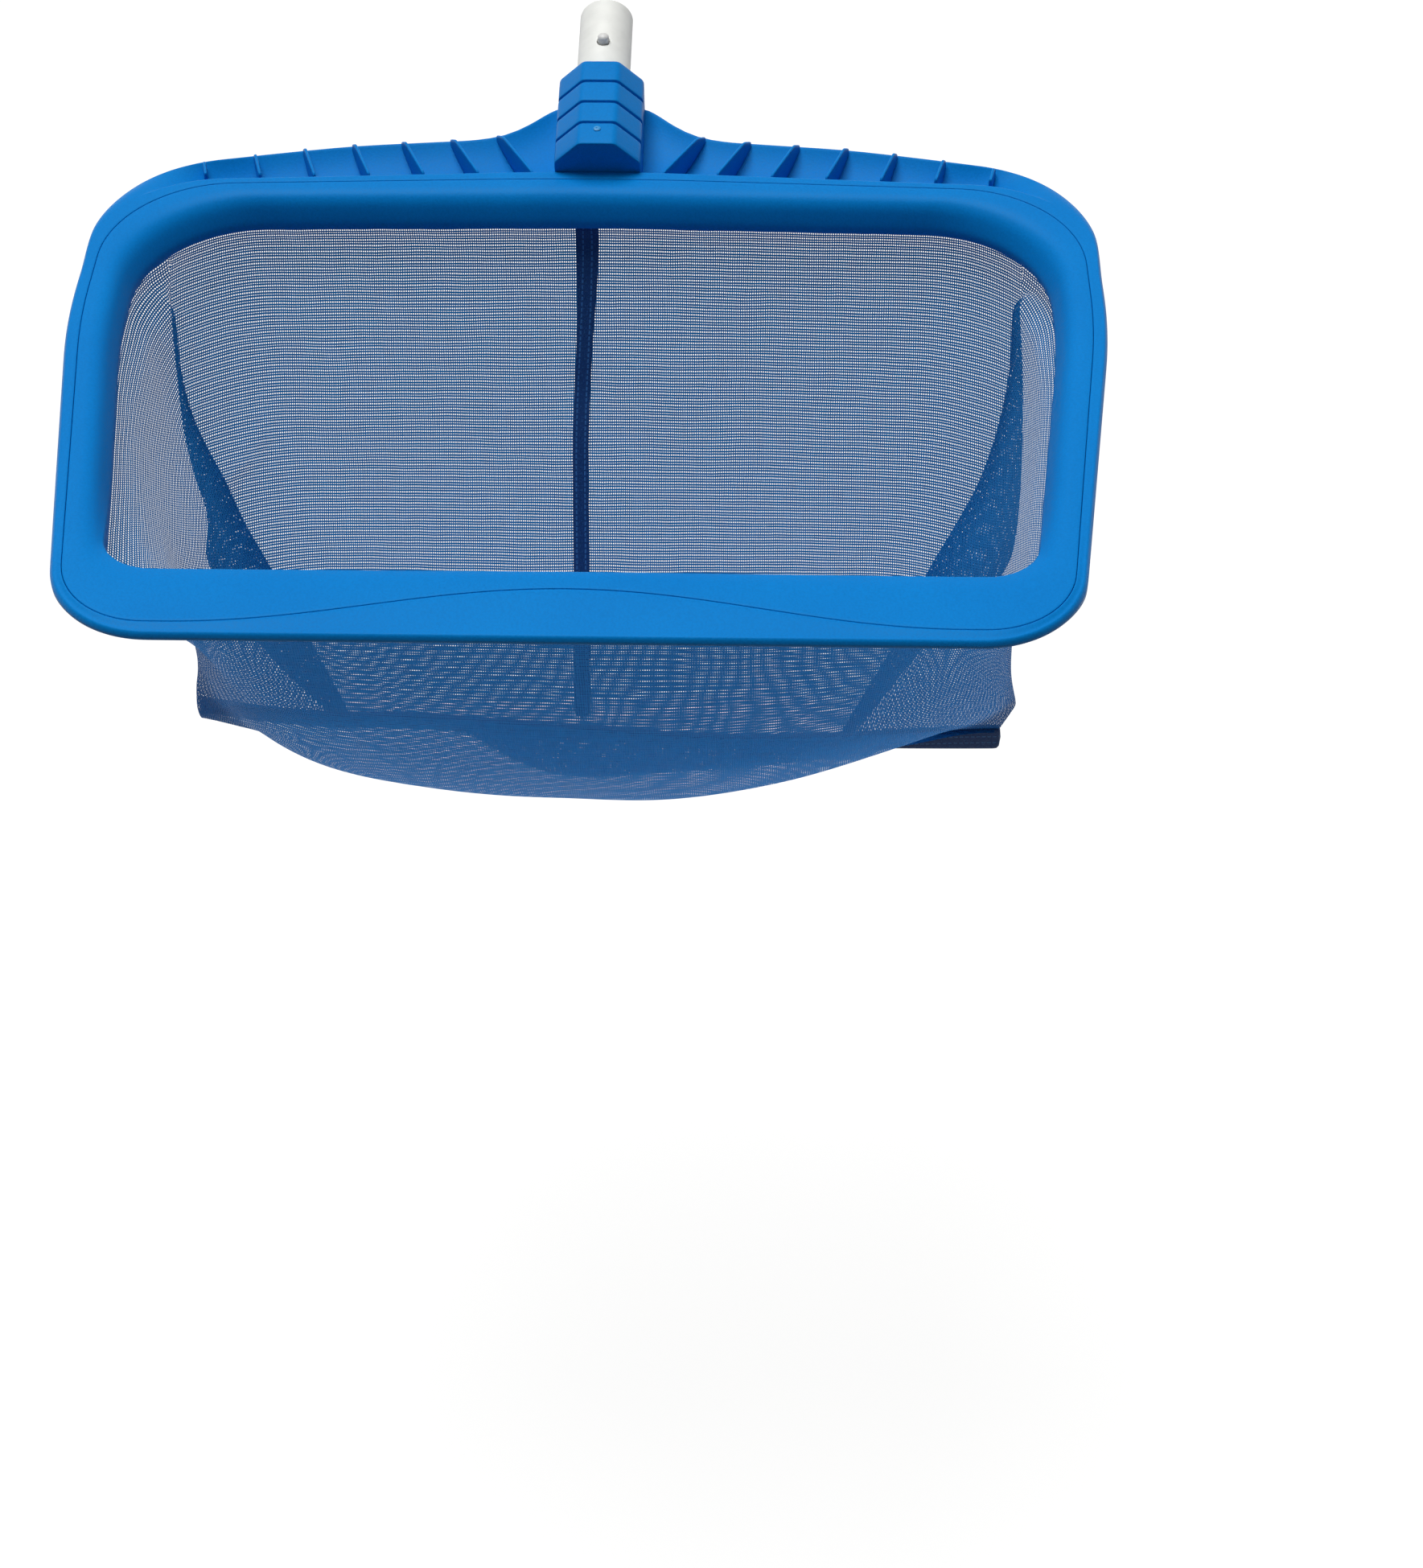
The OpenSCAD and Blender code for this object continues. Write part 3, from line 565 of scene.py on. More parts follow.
def build_ring():
    """The ring inside the parting line, which falls away into the mouth and clamps the net."""
    a, b = parting(0), mouth(0)
    b_out, b_edge = mouth(WALL), mouth(0.6)
    sections = []
    for i in range(len(a)):
        lip = lip_share(b[i][1] - 25)
        points = [(*mix(a[i], b[i], s), mix(z, z / 5, lip)) for s, z in zip(RING_S, RING_Z)]
        low = points[-1][2]
        points += [
            (*b[i], mix(low, -RING_H, 0.5)), (*b[i], -RING_H + 0.5), (*b_edge[i], -RING_H),
            (*mix(b_edge[i], b_out[i], 0.8), -RING_H), (*b_out[i], -RING_H + 0.5),
            (*b_out[i], mix(-WALL - 2.5, -WALL - 1, lip)),
            (*mix(a[i], b_out[i], 0.7), mix(-WALL - 1.5, -WALL - 0.6, lip)),
            (*mix(a[i], b[i], 0.1), -WALL), (*a[i], -WALL), (*a[i], -0.9)]
        sections.append(points)
    flat = [p for s in sections for p in s]
    add_mesh("clamp_ring_moulding", hoop(flat), ring_faces(len(sections), len(sections[0])),
             "blue_moulding", ("clamp_ring",))


def rib_crest(t, end):
    """Height of a rib's crest at share t of its run."""
    return mix(-0.5, end, smooth((t - 0.8) / 0.2)) if t > 0.8 else -0.5


def build_rib(side, k):
    """Gusset k, from 1 by the socket to 7: a thin blade across the tray, fanned outwards."""
    x = RIB_FIRST + RIB_PITCH * (k - 1)
    fan = math.radians(RIB_FAN - RIB_FAN_STEP * (k - 1))
    ledge_y = np.interp(x, LEDGE_RUN[:90, 0], LEDGE_RUN[:90, 1])
    along = np.array([math.sin(fan), math.cos(fan)])
    across = np.array([math.cos(fan), -math.sin(fan)])
    foot = np.array([x, ledge_y - 0.5])
    reach = np.interp(x + 40 * math.sin(fan), RIM_RUN[:, 0], RIM_RUN[:, 1])
    run = (reach - foot[1]) / math.cos(fan) - 0.5
    sections = []
    for t in np.linspace(0, 1, 13):
        p = foot + along * run * t
        end_z = edge_z(p[0], p[1]) + 1.3
        crest = rib_crest(t, end_z)
        base = mix(-tray_depth(p[0], p[1]), edge_z(p[0], p[1]), t ** 2.6) - 1.2
        half = [(1.15, base), (1.0, mix(base, crest, 0.35)), (0.85, crest - 0.6),
                (0.6, crest - 0.12)]
        profile = [(-o, z) for o, z in half] + [(0, crest)] + half[::-1]
        sections.append([(*(p + across * o), z) for o, z in profile])
    flat = np.array([p for s in sections for p in s])
    if side == "left":
        flat[:, 0] *= -1
    add_mesh(f"rib_blade_{side}_{k}", hoop(flat), bar_faces(13, 9), "blue_moulding",
             (f"rib_{side}_{k}",))


# ---- socket, tube, buttons and rivet ----

def octagon(apothem, corner, foot=1.0):
    """Points of an octagon with slightly rounded corners, in x and z. A foot above 1 moves its
    two lower slopes out, which makes the lower corners squarer."""
    points = []
    away = [apothem * (foot if k in (5, 7) else 1) for k in range(8)]
    half_turn = math.sqrt(0.5)
    for k in range(8):
        a = math.pi / 4 * k
        n, t = np.array([math.cos(a), math.sin(a)]), np.array([-math.sin(a), math.cos(a)])
        low, high = (away[j % 8] / half_turn - away[k] for j in (k - 1, k + 1))
        c = min(corner, (low + high) * 0.16)
        for s in (c - low, 3 * c - low, (high - low) / 2, high - 3 * c, high - c):
            points.append(n * away[k] + t * s)
    return np.array(points)


SOCKET_FOOT = 1.34


def build_socket():
    """Octagonal sleeve with a closed front, three grooves, and a round bore for the tube."""
    half, front = SOCKET_AF / 2, -SOCKET_LEN
    rings = [(front, 0.05), (front, half - 6), (front, half - 1.0), (front + 0.12, half - 0.35),
             (front + 0.5, half - 0.05)]
    side = ((0.9, 0), (0.25, 0.06), (0, 0.3), (-0.08, GROOVE_CUT - 0.25), (-0.3, GROOVE_CUT))
    for k in (3, 2, 1):
        y = -k * SOCKET_LEN / 4
        rings += [(y - GROOVE_HALF - out, half - deep) for out, deep in side]
        rings += [(y + GROOVE_HALF + out, half - deep) for out, deep in side[::-1]]
    rings += [(-0.7, half), (-0.15, half - 0.2), (0, half - 0.8), (0, half - 4),
              (0, 0.6 * half + 1.2)]
    sections = []
    for y, r in rings:
        o = octagon(r, min(0.9, r * 0.1), SOCKET_FOOT)
        sections.append([(p[0], y, p[1]) for p in o])
    cols = len(sections[0])
    bore = TUBE_R + 0.1
    for y, r in ((0, bore + 0.5), (-0.2, bore + 0.1), (-1.0, bore), (-12, bore),
                 (-TUBE_HELD, bore)):
        flat = [unit(q) * r for q in octagon(r, 0.2 * r)]
        sections.append([(q[0], y, q[1]) for q in flat])
    points = [p for s in sections for p in s]
    add_mesh("pole_socket", tube(points), bar_faces(len(sections), cols), "blue_moulding",
             ("socket",))


def lathe(name, profile, y, z, slot, nodes, flip=1, steps=48, body="head"):
    """A round piece about an upward line through the tube, from (radius, height) pairs."""
    a = np.linspace(0, 2 * math.pi, steps, endpoint=False)
    points = [(r * math.cos(t), y + r * math.sin(t), flip * (z + h)) for r, h in profile for t in a]
    add_mesh(name, tube(points), bar_faces(len(profile), steps), slot, nodes, body=body)


def build_button(side, flip):
    """A snap button: a pin with a domed end, through the tube's wall."""
    top = TUBE_R + BUTTON_PROUD - BUTTON_BASE_Z
    dome = [(0.03, 0), (BUTTON_R - 0.3, 0), (BUTTON_R, 0.15), (BUTTON_R, 1), (BUTTON_R, top - 2.0)]
    dome += [(BUTTON_R * math.cos(t), top - 1.7 + 1.7 * math.sin(t))
             for t in np.radians((5, 25, 45, 62, 78))]
    lathe(f"snap_button_{side}", dome + [(0.03, top)], BUTTON_Y, BUTTON_BASE_Z, "button",
          (f"button_{side}",), flip, body=f"snap_{side}")


def build_rivet():
    """A blind rivet with a dimple, in the socket's front ring."""
    profile = [(0.03, -9.5), (1.5, -9.5), (1.5, -0.3), (1.9, -0.1), (2.1, 0.1), (1.9, 0.4),
               (1.2, 0.65), (0.6, 0.7), (0.5, 0.4), (0.03, 0.35)]
    lathe("rivet_head", profile, RIVET_Y, SOCKET_AF / 2, "rivet", ("socket_rivet",), steps=32)


# Points round the tube, the reach of the finer grid at its button holes, and the holes' angles
TUBE_STEPS, HOLE_REACH = 96, 8
HOLE_ANGLES = (math.pi / 2, 3 * math.pi / 2)


def build_tube():
    """The stub: a wall with rounded ends and a round hole for each button, cut in its own grid."""
    near_hole = np.linspace(BUTTON_Y - HOLE_REACH, BUTTON_Y + HOLE_REACH, 17)
    ys = sorted({-TUBE_HELD, -TUBE_HELD + 1, -30, -4, 0.5, 8, *near_hole,
                 40, 50, TUBE_FREE - 1.2, TUBE_FREE - 0.5})
    rows, steps = len(ys), TUBE_STEPS
    angles = np.linspace(0, 2 * math.pi, steps, endpoint=False)

    def from_hole(a, middle):
        """The angle from a hole's middle, between minus and plus half a turn."""
        return (a - middle + math.pi) % (2 * math.pi) - math.pi

    def spot(y, a, r):
        """A grid point, which near a button hole moves onto the hole's rim."""
        for middle in HOLE_ANGLES:
            flat = np.array([from_hole(a, middle) * TUBE_R, y - BUTTON_Y])
            size = np.linalg.norm(flat)
            square = max(abs(flat[0]), abs(flat[1]))
            if size < HOLE_REACH and square > 1e-6:
                t = smooth((square - HOLE_R) / 4.3) if square > HOLE_R else 0
                flat = mix(flat * (square / size), flat, t)
                a, y = middle + flat[0] / TUBE_R, BUTTON_Y + flat[1]
        return (r * math.cos(a), y, r * math.sin(a))

    def cell_open(j, i):
        """Whether a cell of the grid lies in a button hole."""
        y, a = (ys[j] + ys[j + 1]) / 2, angles[i] + math.pi / steps
        return any(max(abs(from_hole(a, middle) * TUBE_R), abs(y - BUTTON_Y)) < HOLE_R
                   for middle in HOLE_ANGLES)

    points = [spot(y, a, r) for r in (TUBE_R, TUBE_IN_R) for y in ys for a in angles]
    faces, layer = [], rows * steps
    opened = [[cell_open(j, i) for i in range(steps)] for j in range(rows - 1)]
    for j in range(rows - 1):
        for i in range(steps):
            if opened[j][i]:
                continue
            k = (i + 1) % steps
            quad = (j * steps + i, j * steps + k, (j + 1) * steps + k, (j + 1) * steps + i)
            faces += [quad, tuple(layer + q for q in quad[::-1])]
            beside = ((j, (i - 1) % steps, 0, 3), (j, k, 1, 2), (j - 1, i, 0, 1), (j + 1, i, 3, 2))
            for row, col, one, other in beside:
                if 0 <= row < rows - 1 and opened[row][col]:
                    a, b = quad[one], quad[other]
                    faces.append((a, b, layer + b, layer + a))
    middle = (TUBE_R + TUBE_IN_R) / 2
    for end, row in ((ys[0] - 0.3, 0), (TUBE_FREE, rows - 1)):
        first = len(points)
        for r in (TUBE_R - 0.35, middle, TUBE_IN_R + 0.35):
            y = end if r == middle else mix(ys[row], end, 0.9)
            points += [(r * math.cos(a), y, r * math.sin(a)) for a in angles]
        loops = [row * steps, first, first + steps, first + 2 * steps, layer + row * steps]
        for p, q in zip(loops, loops[1:]):
            faces += [(p + i, p + (i + 1) % steps, q + (i + 1) % steps, q + i)
                      for i in range(steps)]
    made = add_mesh("tube_stub", tube(points), faces, "tube", ("stub_tube",), levels=0)
    bevel = made.modifiers.new("rounded", "BEVEL")
    bevel.width, bevel.segments = 0.00025, 2
    bevel.limit_method, bevel.angle_limit = "ANGLE", math.radians(40)


# ---- net bag ----

def mouth_half():
    """Right half of the hem line, from the lip's middle to the back's, and distances along it."""
    m = mouth(HEM_IN)
    right = m[m[:, 0] > 1]
    order = np.argsort(np.unwrap(np.arctan2(right[:, 1] - 180, right[:, 0])))
    half = np.vstack([[0, right[order][0][1]], right[order], [0, right[order][-1][1]]])
    return half, run_along(half)


HALF, HALF_S = mouth_half()


def along_mouth(s):
    return np.array([np.interp(s, HALF_S, HALF[:, 0]), np.interp(s, HALF_S, HALF[:, 1])])


def distance_at(y, low, high):
    """Distance along the hem line where the side is at y."""
    side = (HALF[:, 1] > low) & (HALF[:, 1] < high)
    return float(np.interp(y, HALF[side, 1], HALF_S[side]))


END_S = HALF_S[-1]
FOLD_S = distance_at(FOLD_Y, 90, 320)
BACK_S = distance_at(PLEAT_Y, 90, 320)
FRONT_S = distance_at(FRONT_Y, 45, 80)

# Where the slack net's edges hang, left (-1) and right (1): distance from the middle, y and z,
# from the hem to the seam. "corner" runs between front and side, "inner" and "outer" are the
# two folds of the side pleat.
HANG = {
    -1: {
        "corner": [(192, 70, -50), (182, 88, -80), (190, 114, -120), (200, 145, -160),
                   (209, 168, -198), (213, 176, -226), (211, 181, -240), (211, 187, -239),
                   (214, 189, -229)],
        "inner": [(219, 292, -38), (217.4, 290, -50), (217.4, 280, -76), (213, 271, -99),
                  (204, 262, -119), (196, 256, -132), (189.5, 248, -150), (174.6, 235, -174),
                  (155.7, 215, -206), (145, 204.5, -223.6), (134, 190.6, -239)],
        "outer": [(221, 297, -45), (220.5, 288, -62), (218, 267, -108), (212, 254, -136),
                  (205.5, 248, -151.5), (209.6, 241.5, -160), (210, 235.5, -171), (200, 227, -188),
                  (188, 218, -206), (169, 206.5, -226), (146, 192, -239.5)],
    },
    1: {
        "corner": [(204, 66, -52), (205, 84, -84), (211, 108, -128), (217, 130, -162),
                   (221, 158, -196), (217, 189, -244)],
        "inner": [(217, 299, -36), (215, 295, -48), (216, 287, -65), (214.5, 279, -81.5),
                  (210, 269, -104), (202, 258, -129), (191, 249, -149), (175, 235.5, -174),
                  (158.5, 214, -208), (142, 199, -232), (131, 190.6, -251)],
        "outer": [(219, 300, -42), (221, 291, -58), (223, 277, -84), (224, 258, -121),
                  (222.5, 242, -154), (219, 234, -170), (200, 225, -189), (176, 217, -209),
                  (156, 203, -232), (140, 192, -250.5)],
    },
}
# At x: the bottom seam's height, and how far its loose allowance folds forward
SEAM_AT = ((-214, -229), (-180, -236), (-150, -239.5), (-95, -239.5), (-40, -245), (0, -247.5),
           (35, -252), (71, -253.5), (107, -253), (147, -250), (197, -245), (218, -244))
LOOSE_AT = ((-214, 1.5), (-95, 1.5), (-76, 4), (-57, 17), (-38, 29), (-19, 36), (0, 36), (17, 32),
            (35, 27), (53, 25), (89, 20), (125, 15), (170, 8), (200, 1.5), (218, 1.5))
# How far the middle of each panel's or edge's plain curve is pulled from the straight line
PULL = {name: np.array(pull, float) for name, pull in {
    "front": (0, -34, -136), "back": (0, 10, -12), "corner": (-10, -8, 8), "inner": (42, 25, 10),
    "outer": (66, 12, 0)}.items()}
EDGE_S = {"corner": FRONT_S, "inner": FOLD_S, "outer": BACK_S}


def curve(points):
    """A smooth curve through points, as a function of the share of its length."""
    p = np.array(points, float)
    s = run_along(p)
    fine = np.linspace(0, s[-1], 400)
    flat = np.stack([np.interp(fine, s, p[:, k]) for k in range(3)], 1)
    reach = np.minimum(np.minimum(fine, s[-1] - fine), 11)
    even = np.linspace(-1, 1, 9)
    soft = np.mean([np.stack([np.interp(fine + reach * e, fine, flat[:, k]) for k in range(3)], 1)
                    for e in even], axis=0)
    return lambda v: np.array([np.interp(v * s[-1], fine, soft[:, k]) for k in range(3)])


def softened(table, x, reach=14):
    """A table's value at x, averaged over a reach on each side."""
    xs, ys = zip(*table)
    return float(np.mean([np.interp(x + reach * e, xs, ys) for e in np.linspace(-1, 1, 7)]))


def belly(a, pull, b, v):
    """A point at share v of a curve from a to b whose middle is pulled aside."""
    return (1 - v) ** 2 * a + 2 * v * (1 - v) * (mix(a, b, 0.5) + pull) + v * v * b


def hem_point(s):
    """The point of the hem at a distance from the lip's middle."""
    p = along_mouth(s)
    return np.array([p[0], p[1], HEM_Z])


def seam_point(x, y, sign=1):
    """The point of the bottom seam at x, y in front of or behind its middle."""
    return np.array([x, SEAM_Y + y, softened(SEAM_AT, sign * x)])


def hanging(name, points):
    """An edge's curve, which starts straight down from the hem."""
    top = hem_point(EDGE_S[name])
    return curve([top, top - np.array([0, 0, 7])] + list(points))


HANGING = {sign: {name: hanging(name, points) for name, points in edges.items()}
           for sign, edges in HANG.items()}


def sided(p, sign):
    """A point on the left (-1) or right (1) side."""
    return np.array([sign * p[0], p[1], p[2]])


def edge_shift(sign, name, s, x, y, v):
    """How far an edge hangs from the plain curve that its panel would follow there."""
    plain = belly(hem_point(s), PULL[name], seam_point(x, y, sign), v)
    return HANGING[sign][name](v) - plain


def ripple(x, z, phase):
    """Low folds of a slack net, of unit height."""
    return (0.5 * math.sin(x / 41 + z / 57 + phase) + 0.3 * math.sin(x / 23 - z / 31 + 1.7 * phase)
            + 0.2 * math.sin(x / 13 + z / 17 + 2.9 * phase))


def crease(p, start, end, width, height):
    """Height of a short sharp crease, seen from the front, that fades out towards its end."""
    a, b, q = np.array(start, float), np.array(end, float), np.array([p[0], p[2]])
    t = (q - a) @ (b - a) / ((b - a) @ (b - a))
    away = np.linalg.norm(q - a - (b - a) * np.clip(t, 0, 1))
    return height * (1 - smooth(t)) * math.exp(-(away / (width * (1 + np.clip(t, 0, 1)))) ** 2)


# The panels' lower edges lie in layers in the seam, at these y from its middle
SEAM_BACK, SEAM_SIDE, SEAM_FRONT = 1.6, -0.6, -1.6
# Each crease: start and end in x and z, width, height
BACK_CREASES = (((-198, -134), (-170, -100), 5, -8), ((-10, -96), (62, -150), 9, 2.5),
                ((120, -46), (60, -84), 10, 2.5), ((-150, -60), (-120, -150), 14, -3))


def back_net(u, v):
    """u from -1 to 1 across, v from 0 at the hem to 1 at the seam."""
    sign, w = (1 if u >= 0 else -1), abs(u)
    a, b = hem_point(mix(END_S, BACK_S, w)), seam_point(PLEAT_HALF * w, SEAM_BACK, sign)
    p = belly(a, mix(PULL["back"], PULL["outer"], w ** 3), b, v)
    p = sided(p + w ** 4 * edge_shift(sign, "outer", BACK_S, PLEAT_HALF, SEAM_BACK, v), sign)
    slack = math.sin(math.pi * v) * (1 - w ** 8)
    fold = 2.4 * ripple(p[0], p[2], 0.4) + sum(crease(p, *c) for c in BACK_CREASES)
    return p + np.array([0, 1.0, 0.5]) * slack * fold


def side_net(t, v, sign):
    """t from 0 at the pleat's inner fold to 1 at the front corner."""
    a = hem_point(mix(FOLD_S, FRONT_S, t))
    b = seam_point(mix(FOLD_HALF, SEAM_HALF, t), SEAM_SIDE, sign)
    p = belly(a, mix(PULL["inner"], PULL["corner"], 1 - (1 - t) ** 2), b, v)
    p += (1 - t) ** 3 * edge_shift(sign, "inner", FOLD_S, FOLD_HALF, SEAM_SIDE, v)
    p += t ** 3 * edge_shift(sign, "corner", FRONT_S, SEAM_HALF, SEAM_SIDE, v)
    slack = math.sin(math.pi * v) * math.sin(math.pi * t)
    return sided(p + np.array([1, 0, 0.2]) * 2.2 * slack * ripple(p[1], p[2], 1.1 * sign), sign)


def pleated_net(w, v, sign):
    """w from 0 at the back panel's edge, over the inner fold at 1, to 2 at the front corner."""
    if w >= 1:
        return side_net(w - 1, v, sign)
    outer, inner = HANGING[sign]["outer"](v), HANGING[sign]["inner"](v)
    return sided(mix(outer, inner, w), sign)


def front_net(u, v):
    """u from -1 to 1 across, v from 0 at the hem to 1 at the seam, and on to 2 over the loose
    allowance that is folded forward there. The sag keeps its depth further out on the left."""
    sign, w = (1 if u >= 0 else -1), abs(u)
    a, b = hem_point(w * FRONT_S), seam_point(SEAM_HALF * w, SEAM_FRONT, sign)
    if v > 1:
        x = sign * b[0]
        forward = softened(LOOSE_AT, x, 9) * (1 - abs(2 * v - 3))
        return np.array([x, b[1] - forward, b[2] - 2.4 * (v - 1)])
    towards_corner = np.array([u * u, u * u, w ** (4 if u < 0 else 1.9)])
    p = belly(a, mix(PULL["front"], PULL["corner"], towards_corner), b, v)
    p = sided(p + w ** 4 * edge_shift(sign, "corner", FRONT_S, SEAM_HALF, SEAM_FRONT, v), sign)
    slack = math.sin(math.pi * v) * (1 - w ** 8)
    return p + np.array([0, -0.8, 0.6]) * 2.6 * slack * ripple(p[0], p[2], 1.9)


def net_sheet(name, across, down, spot, nodes, stretch=(1, 1)):
    """A sheet of net as a grid, and UVs in metres along the cloth, divided by the stretch. The
    first row is hidden behind the ring."""
    grid = np.array([[spot(u, v) for u in across] for v in down])
    hidden_top = grid[0] + np.array([0, 0, HEM_HIDDEN])
    grid = np.vstack([hidden_top[None], grid])
    rows, cols = grid.shape[:2]
    span = np.linalg.norm(np.diff(grid, axis=1), axis=2)
    u = np.concatenate([np.zeros((rows, 1)), np.cumsum(span, axis=1)], axis=1)
    u -= u[:, [cols // 2]]
    fall = np.linalg.norm(np.diff(grid, axis=0), axis=2)
    v = np.concatenate([np.zeros((1, cols)), np.cumsum(fall, axis=0)], axis=0)
    uv = np.stack([u / stretch[0], v / stretch[1]], 2).reshape(-1, 2) * MM
    return add_mesh(name, hoop(grid.reshape(-1, 3)), grid_faces(rows, cols), "net", nodes, uv=uv)


def strip(name, line, width, across, thick, nodes):
    """A flat strip of tape along a line, a little thinner at its edges, with cloth coordinates."""
    line = np.asarray(line, float)
    widths = np.broadcast_to(width, len(line))
    side = unit(np.asarray(across, float))
    d = unit(np.gradient(line, axis=0))
    n = unit(np.cross(d, side))
    s = run_along(line)
    shares = (-0.5, -0.47, -0.2, 0.2, 0.47, 0.5)
    points, uv = [], []
    for k, p in enumerate(line):
        for level in (1, -1):
            for f in (shares if level == 1 else shares[::-1]):
                lift = thick / 2 * (0.55 if abs(f) == 0.5 else 1)
                points.append(p + side * f * widths[k] + n[k] * lift * level)
                uv.append((f * widths[k] * MM, s[k] * MM))
    add_mesh(name, hoop(points), bar_faces(len(line), 2 * len(shares)), "binding", nodes, uv=uv)


build_moulding()
build_ring()
for side in ("left", "right"):
    for k in range(1, RIBS + 1):
        build_rib(side, k)
build_socket()
build_tube()
build_rivet()
build_button("top", 1)
build_button("bottom", -1)

# The net's grids: shares down, across the back and front, over the loose allowance, and across
# a side panel with its pleat, where the lines are closer at the inner fold
DOWN = np.linspace(0, 1, 76)
ACROSS = np.linspace(-1, 1, 141)
LOOSE = np.array([1.02, 1.2, 1.4, 1.48, 1.5, 1.52, 1.6, 1.8, 2])
FOLDED = np.concatenate([np.linspace(0, 0.97, 12), [1], np.linspace(1.012, 2, 56)])
# How much wider and longer the side panels' threads are drawn, as they look in the photo
SIDE_STRETCH = (1.48, 1.14)
back = net_sheet("net_back", ACROSS, DOWN, back_net, ("bag_back_left", "bag_back_right"))
front = net_sheet("net_front", ACROSS, np.concatenate([DOWN, LOOSE]), front_net, ("bag_front",))
sides = [net_sheet(f"net_side_{side}", FOLDED, DOWN, lambda w, v, s=sign: pleated_net(w, v, s),
                   (f"bag_side_{side}", f"bag_pleat_{side}"), SIDE_STRETCH)
         for side, sign in (("left", -1), ("right", 1))]


def tape_centre(v):
    """The back seam wanders a little to the left on its way down."""
    share = (-5 - 4.5 * smooth(v / 0.45)) / 230 * (1 + 0.4 * v)
    return back_net(share, v) + np.array([0, -0.7, 0.4])


tape_width = TAPE_W + TAPE_FLARE * (1 - smooth(DOWN[::2] / 0.22))
hidden_end = tape_centre(0) + np.array([0, -0.5, 11])
strip("seam_back", [hidden_end] + [tape_centre(v) for v in DOWN[::2]],
      np.append(tape_width[0], tape_width), (1, 0, 0), 1.0, ("tape_back",))
binding_x = np.linspace(-SEAM_HALF, SEAM_HALF + BINDING_PAST, 110)
binding_height = BINDING_H + BINDING_RISE * smooth((binding_x - 120) / 95)
binding_line = [seam_point(x, 0) - np.array([0, 0, 0.5 * h - 0.4])
                for x, h in zip(binding_x, binding_height)]
strip("bottom_binding", binding_line, binding_height, (0, 0, 1), BINDING_T, ("bottom_strip",))

# Section of the hem behind the ring, the net's doubled top band with the cord inside it: how far
# out from the hem line, and height
HEM_PROFILE = ((0, -17.2), (-0.5, -16.8), (-0.55, -13), (-0.5, -9.5), (0.2, -8.2), (1.6, -8.4),
               (2.6, -9.6), (3.0, -11.2), (2.5, -12.8), (1.2, -14), (0.6, -15), (0.5, -16.8))
hem_points, hem_uv = [], []
hem_s = run_along(mouth(HEM_IN))
for d, z in HEM_PROFILE:
    hem_points += [(*p, z) for p in mouth(HEM_IN + d)]
    hem_uv += [(s * MM, (z + d) * MM) for s in hem_s]
add_mesh("hem_welt", hoop(hem_points), ring_faces(len(HEM_PROFILE), len(hem_s)), "binding",
         ("hem_band", "hem_cord"), uv=hem_uv)

# The spring clip keeps its CAD solids, with a better material
for name in ("clip_bow", "clip_leg_top", "clip_leg_bottom"):
    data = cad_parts[name].data
    data.materials.clear()
    data.materials.append(MATERIALS["spring_steel"])

# ---- floor, light and camera ----
scene = bpy.context.scene
scene.view_settings.view_transform = "Standard"

# A floor that glows nearly white, so that it looks alike from every side, and lights nothing
FLOOR_WHITE, FLOOR_GLOW = 0.12, 0.93
HALF_FLOOR, FLOOR_Z = 60, -0.6
floor_material, floor_tree, floor_shader = new_material("floor", (FLOOR_WHITE,) * 3, 0.9)
floor_at = node(floor_tree, "ShaderNodeTexCoord").outputs["Object"]
floor_noise = noise_value(floor_tree, floor_at, 3)
floor_tone = mixed_colour(floor_tree, floor_noise, (0.99, 0.99, 0.985), (1, 1, 0.995))
floor_tree.links.new(floor_tone, floor_shader.inputs["Emission Color"])
floor_shader.inputs["Emission Strength"].default_value = FLOOR_GLOW
floor_data = bpy.data.meshes.new("floor")
floor_corners = [(x * HALF_FLOOR, y * HALF_FLOOR, FLOOR_Z)
                 for x, y in ((-1, -1), (1, -1), (1, 1), (-1, 1))]
floor_data.from_pydata(floor_corners, [], [(0, 1, 2, 3)])
floor = bpy.data.objects.new("floor", floor_data)
floor_data.materials.append(floor_material)
scene.collection.objects.link(floor)
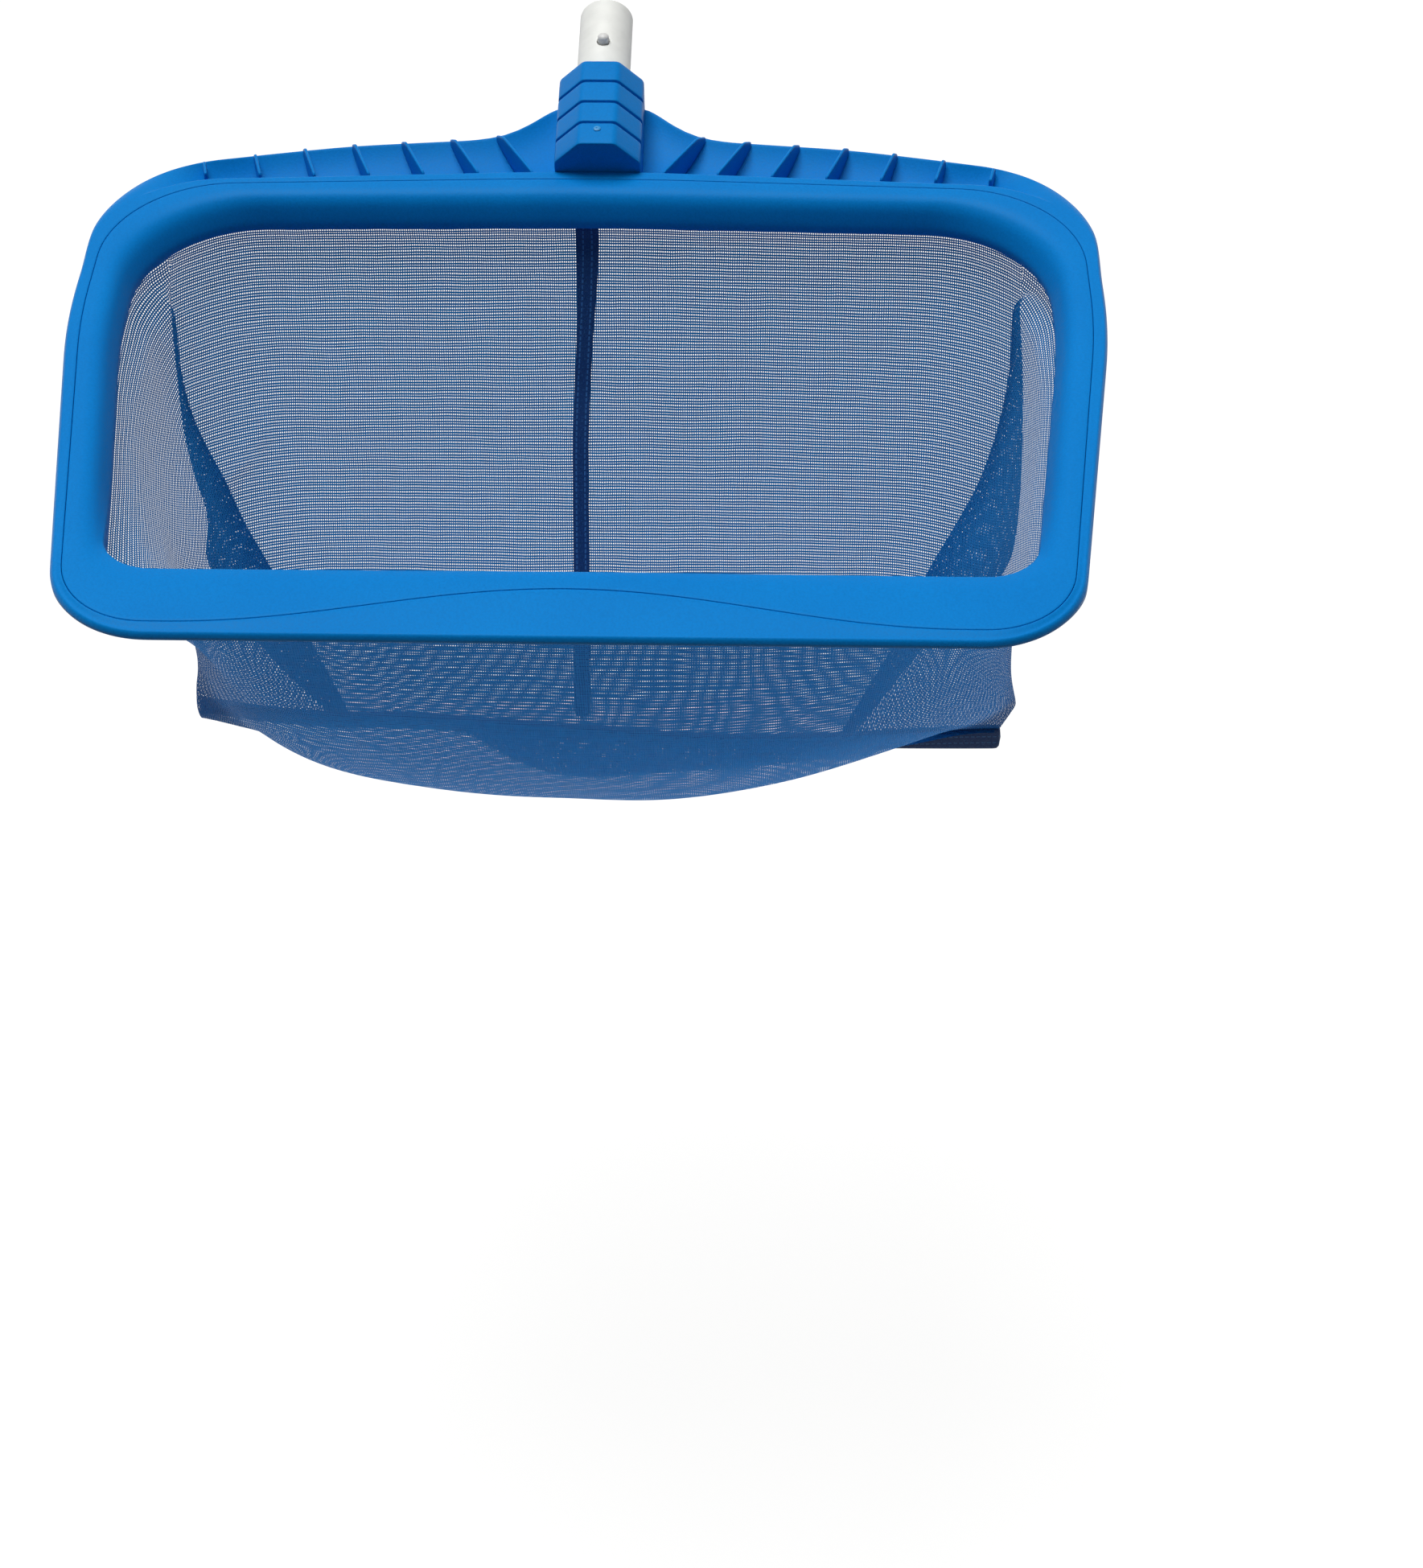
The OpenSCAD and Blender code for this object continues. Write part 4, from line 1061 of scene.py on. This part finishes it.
floor.visible_diffuse = False


# One soft distant lamp, given by the direction from the object to it
KEY_TOWARDS, KEY_STRENGTH, KEY_SPREAD = (-0.17, 0.28, 0.94), 2.55, 34
key_data = bpy.data.lights.new("key", "SUN")
key_data.energy, key_data.angle = KEY_STRENGTH, math.radians(KEY_SPREAD)
key = bpy.data.objects.new("key", key_data)
key.rotation_euler = Vector(KEY_TOWARDS).to_track_quat("Z", "Y").to_euler()
scene.collection.objects.link(key)

# Soft light all round, stronger from the pole's side
SKY_FRONT, SKY_BACK = 0.13, 0.36
world = bpy.data.worlds.new("studio")
world.use_nodes = True
sky = world.node_tree
sky_at = node(sky, "ShaderNodeTexCoord").outputs["Generated"]
sky_way = node(sky, "ShaderNodeSeparateXYZ", {"Vector": sky_at})
sky_strength = ramp(sky, sky_way.outputs["Y"], -0.7, 0.7, SKY_FRONT, SKY_BACK)
sky.links.new(sky_strength, sky.nodes["Background"].inputs["Strength"])
sky.nodes["Background"].inputs["Color"].default_value = (1, 1, 1, 1)
scene.world = world

# The camera that fits the photo: its place in metres, its angles, and a 36 mm wide sensor
CAMERA_AT = Vector((0.08905, -1.43273, 0.96275))
AZIMUTH, ELEVATION, ROLL = math.radians(1.315), math.radians(46.167), math.radians(-0.298)
SENSOR, LENS = 36, 72.76
back_dir = Vector((math.sin(AZIMUTH) * math.cos(ELEVATION),
                   -math.cos(AZIMUTH) * math.cos(ELEVATION), math.sin(ELEVATION)))
right = (-back_dir).cross(Vector((0, 0, 1))).normalized()
up = right.cross(-back_dir)
turned_right = right * math.cos(ROLL) + up * math.sin(ROLL)
turned_up = -right * math.sin(ROLL) + up * math.cos(ROLL)
camera_data = bpy.data.cameras.new("camera")
camera_data.sensor_width, camera_data.lens = SENSOR, LENS
camera = bpy.data.objects.new("camera", camera_data)
turn = Matrix((turned_right, turned_up, back_dir)).transposed().to_4x4()
camera.matrix_world = Matrix.Translation(CAMERA_AT) @ turn
scene.collection.objects.link(camera)
scene.camera = camera
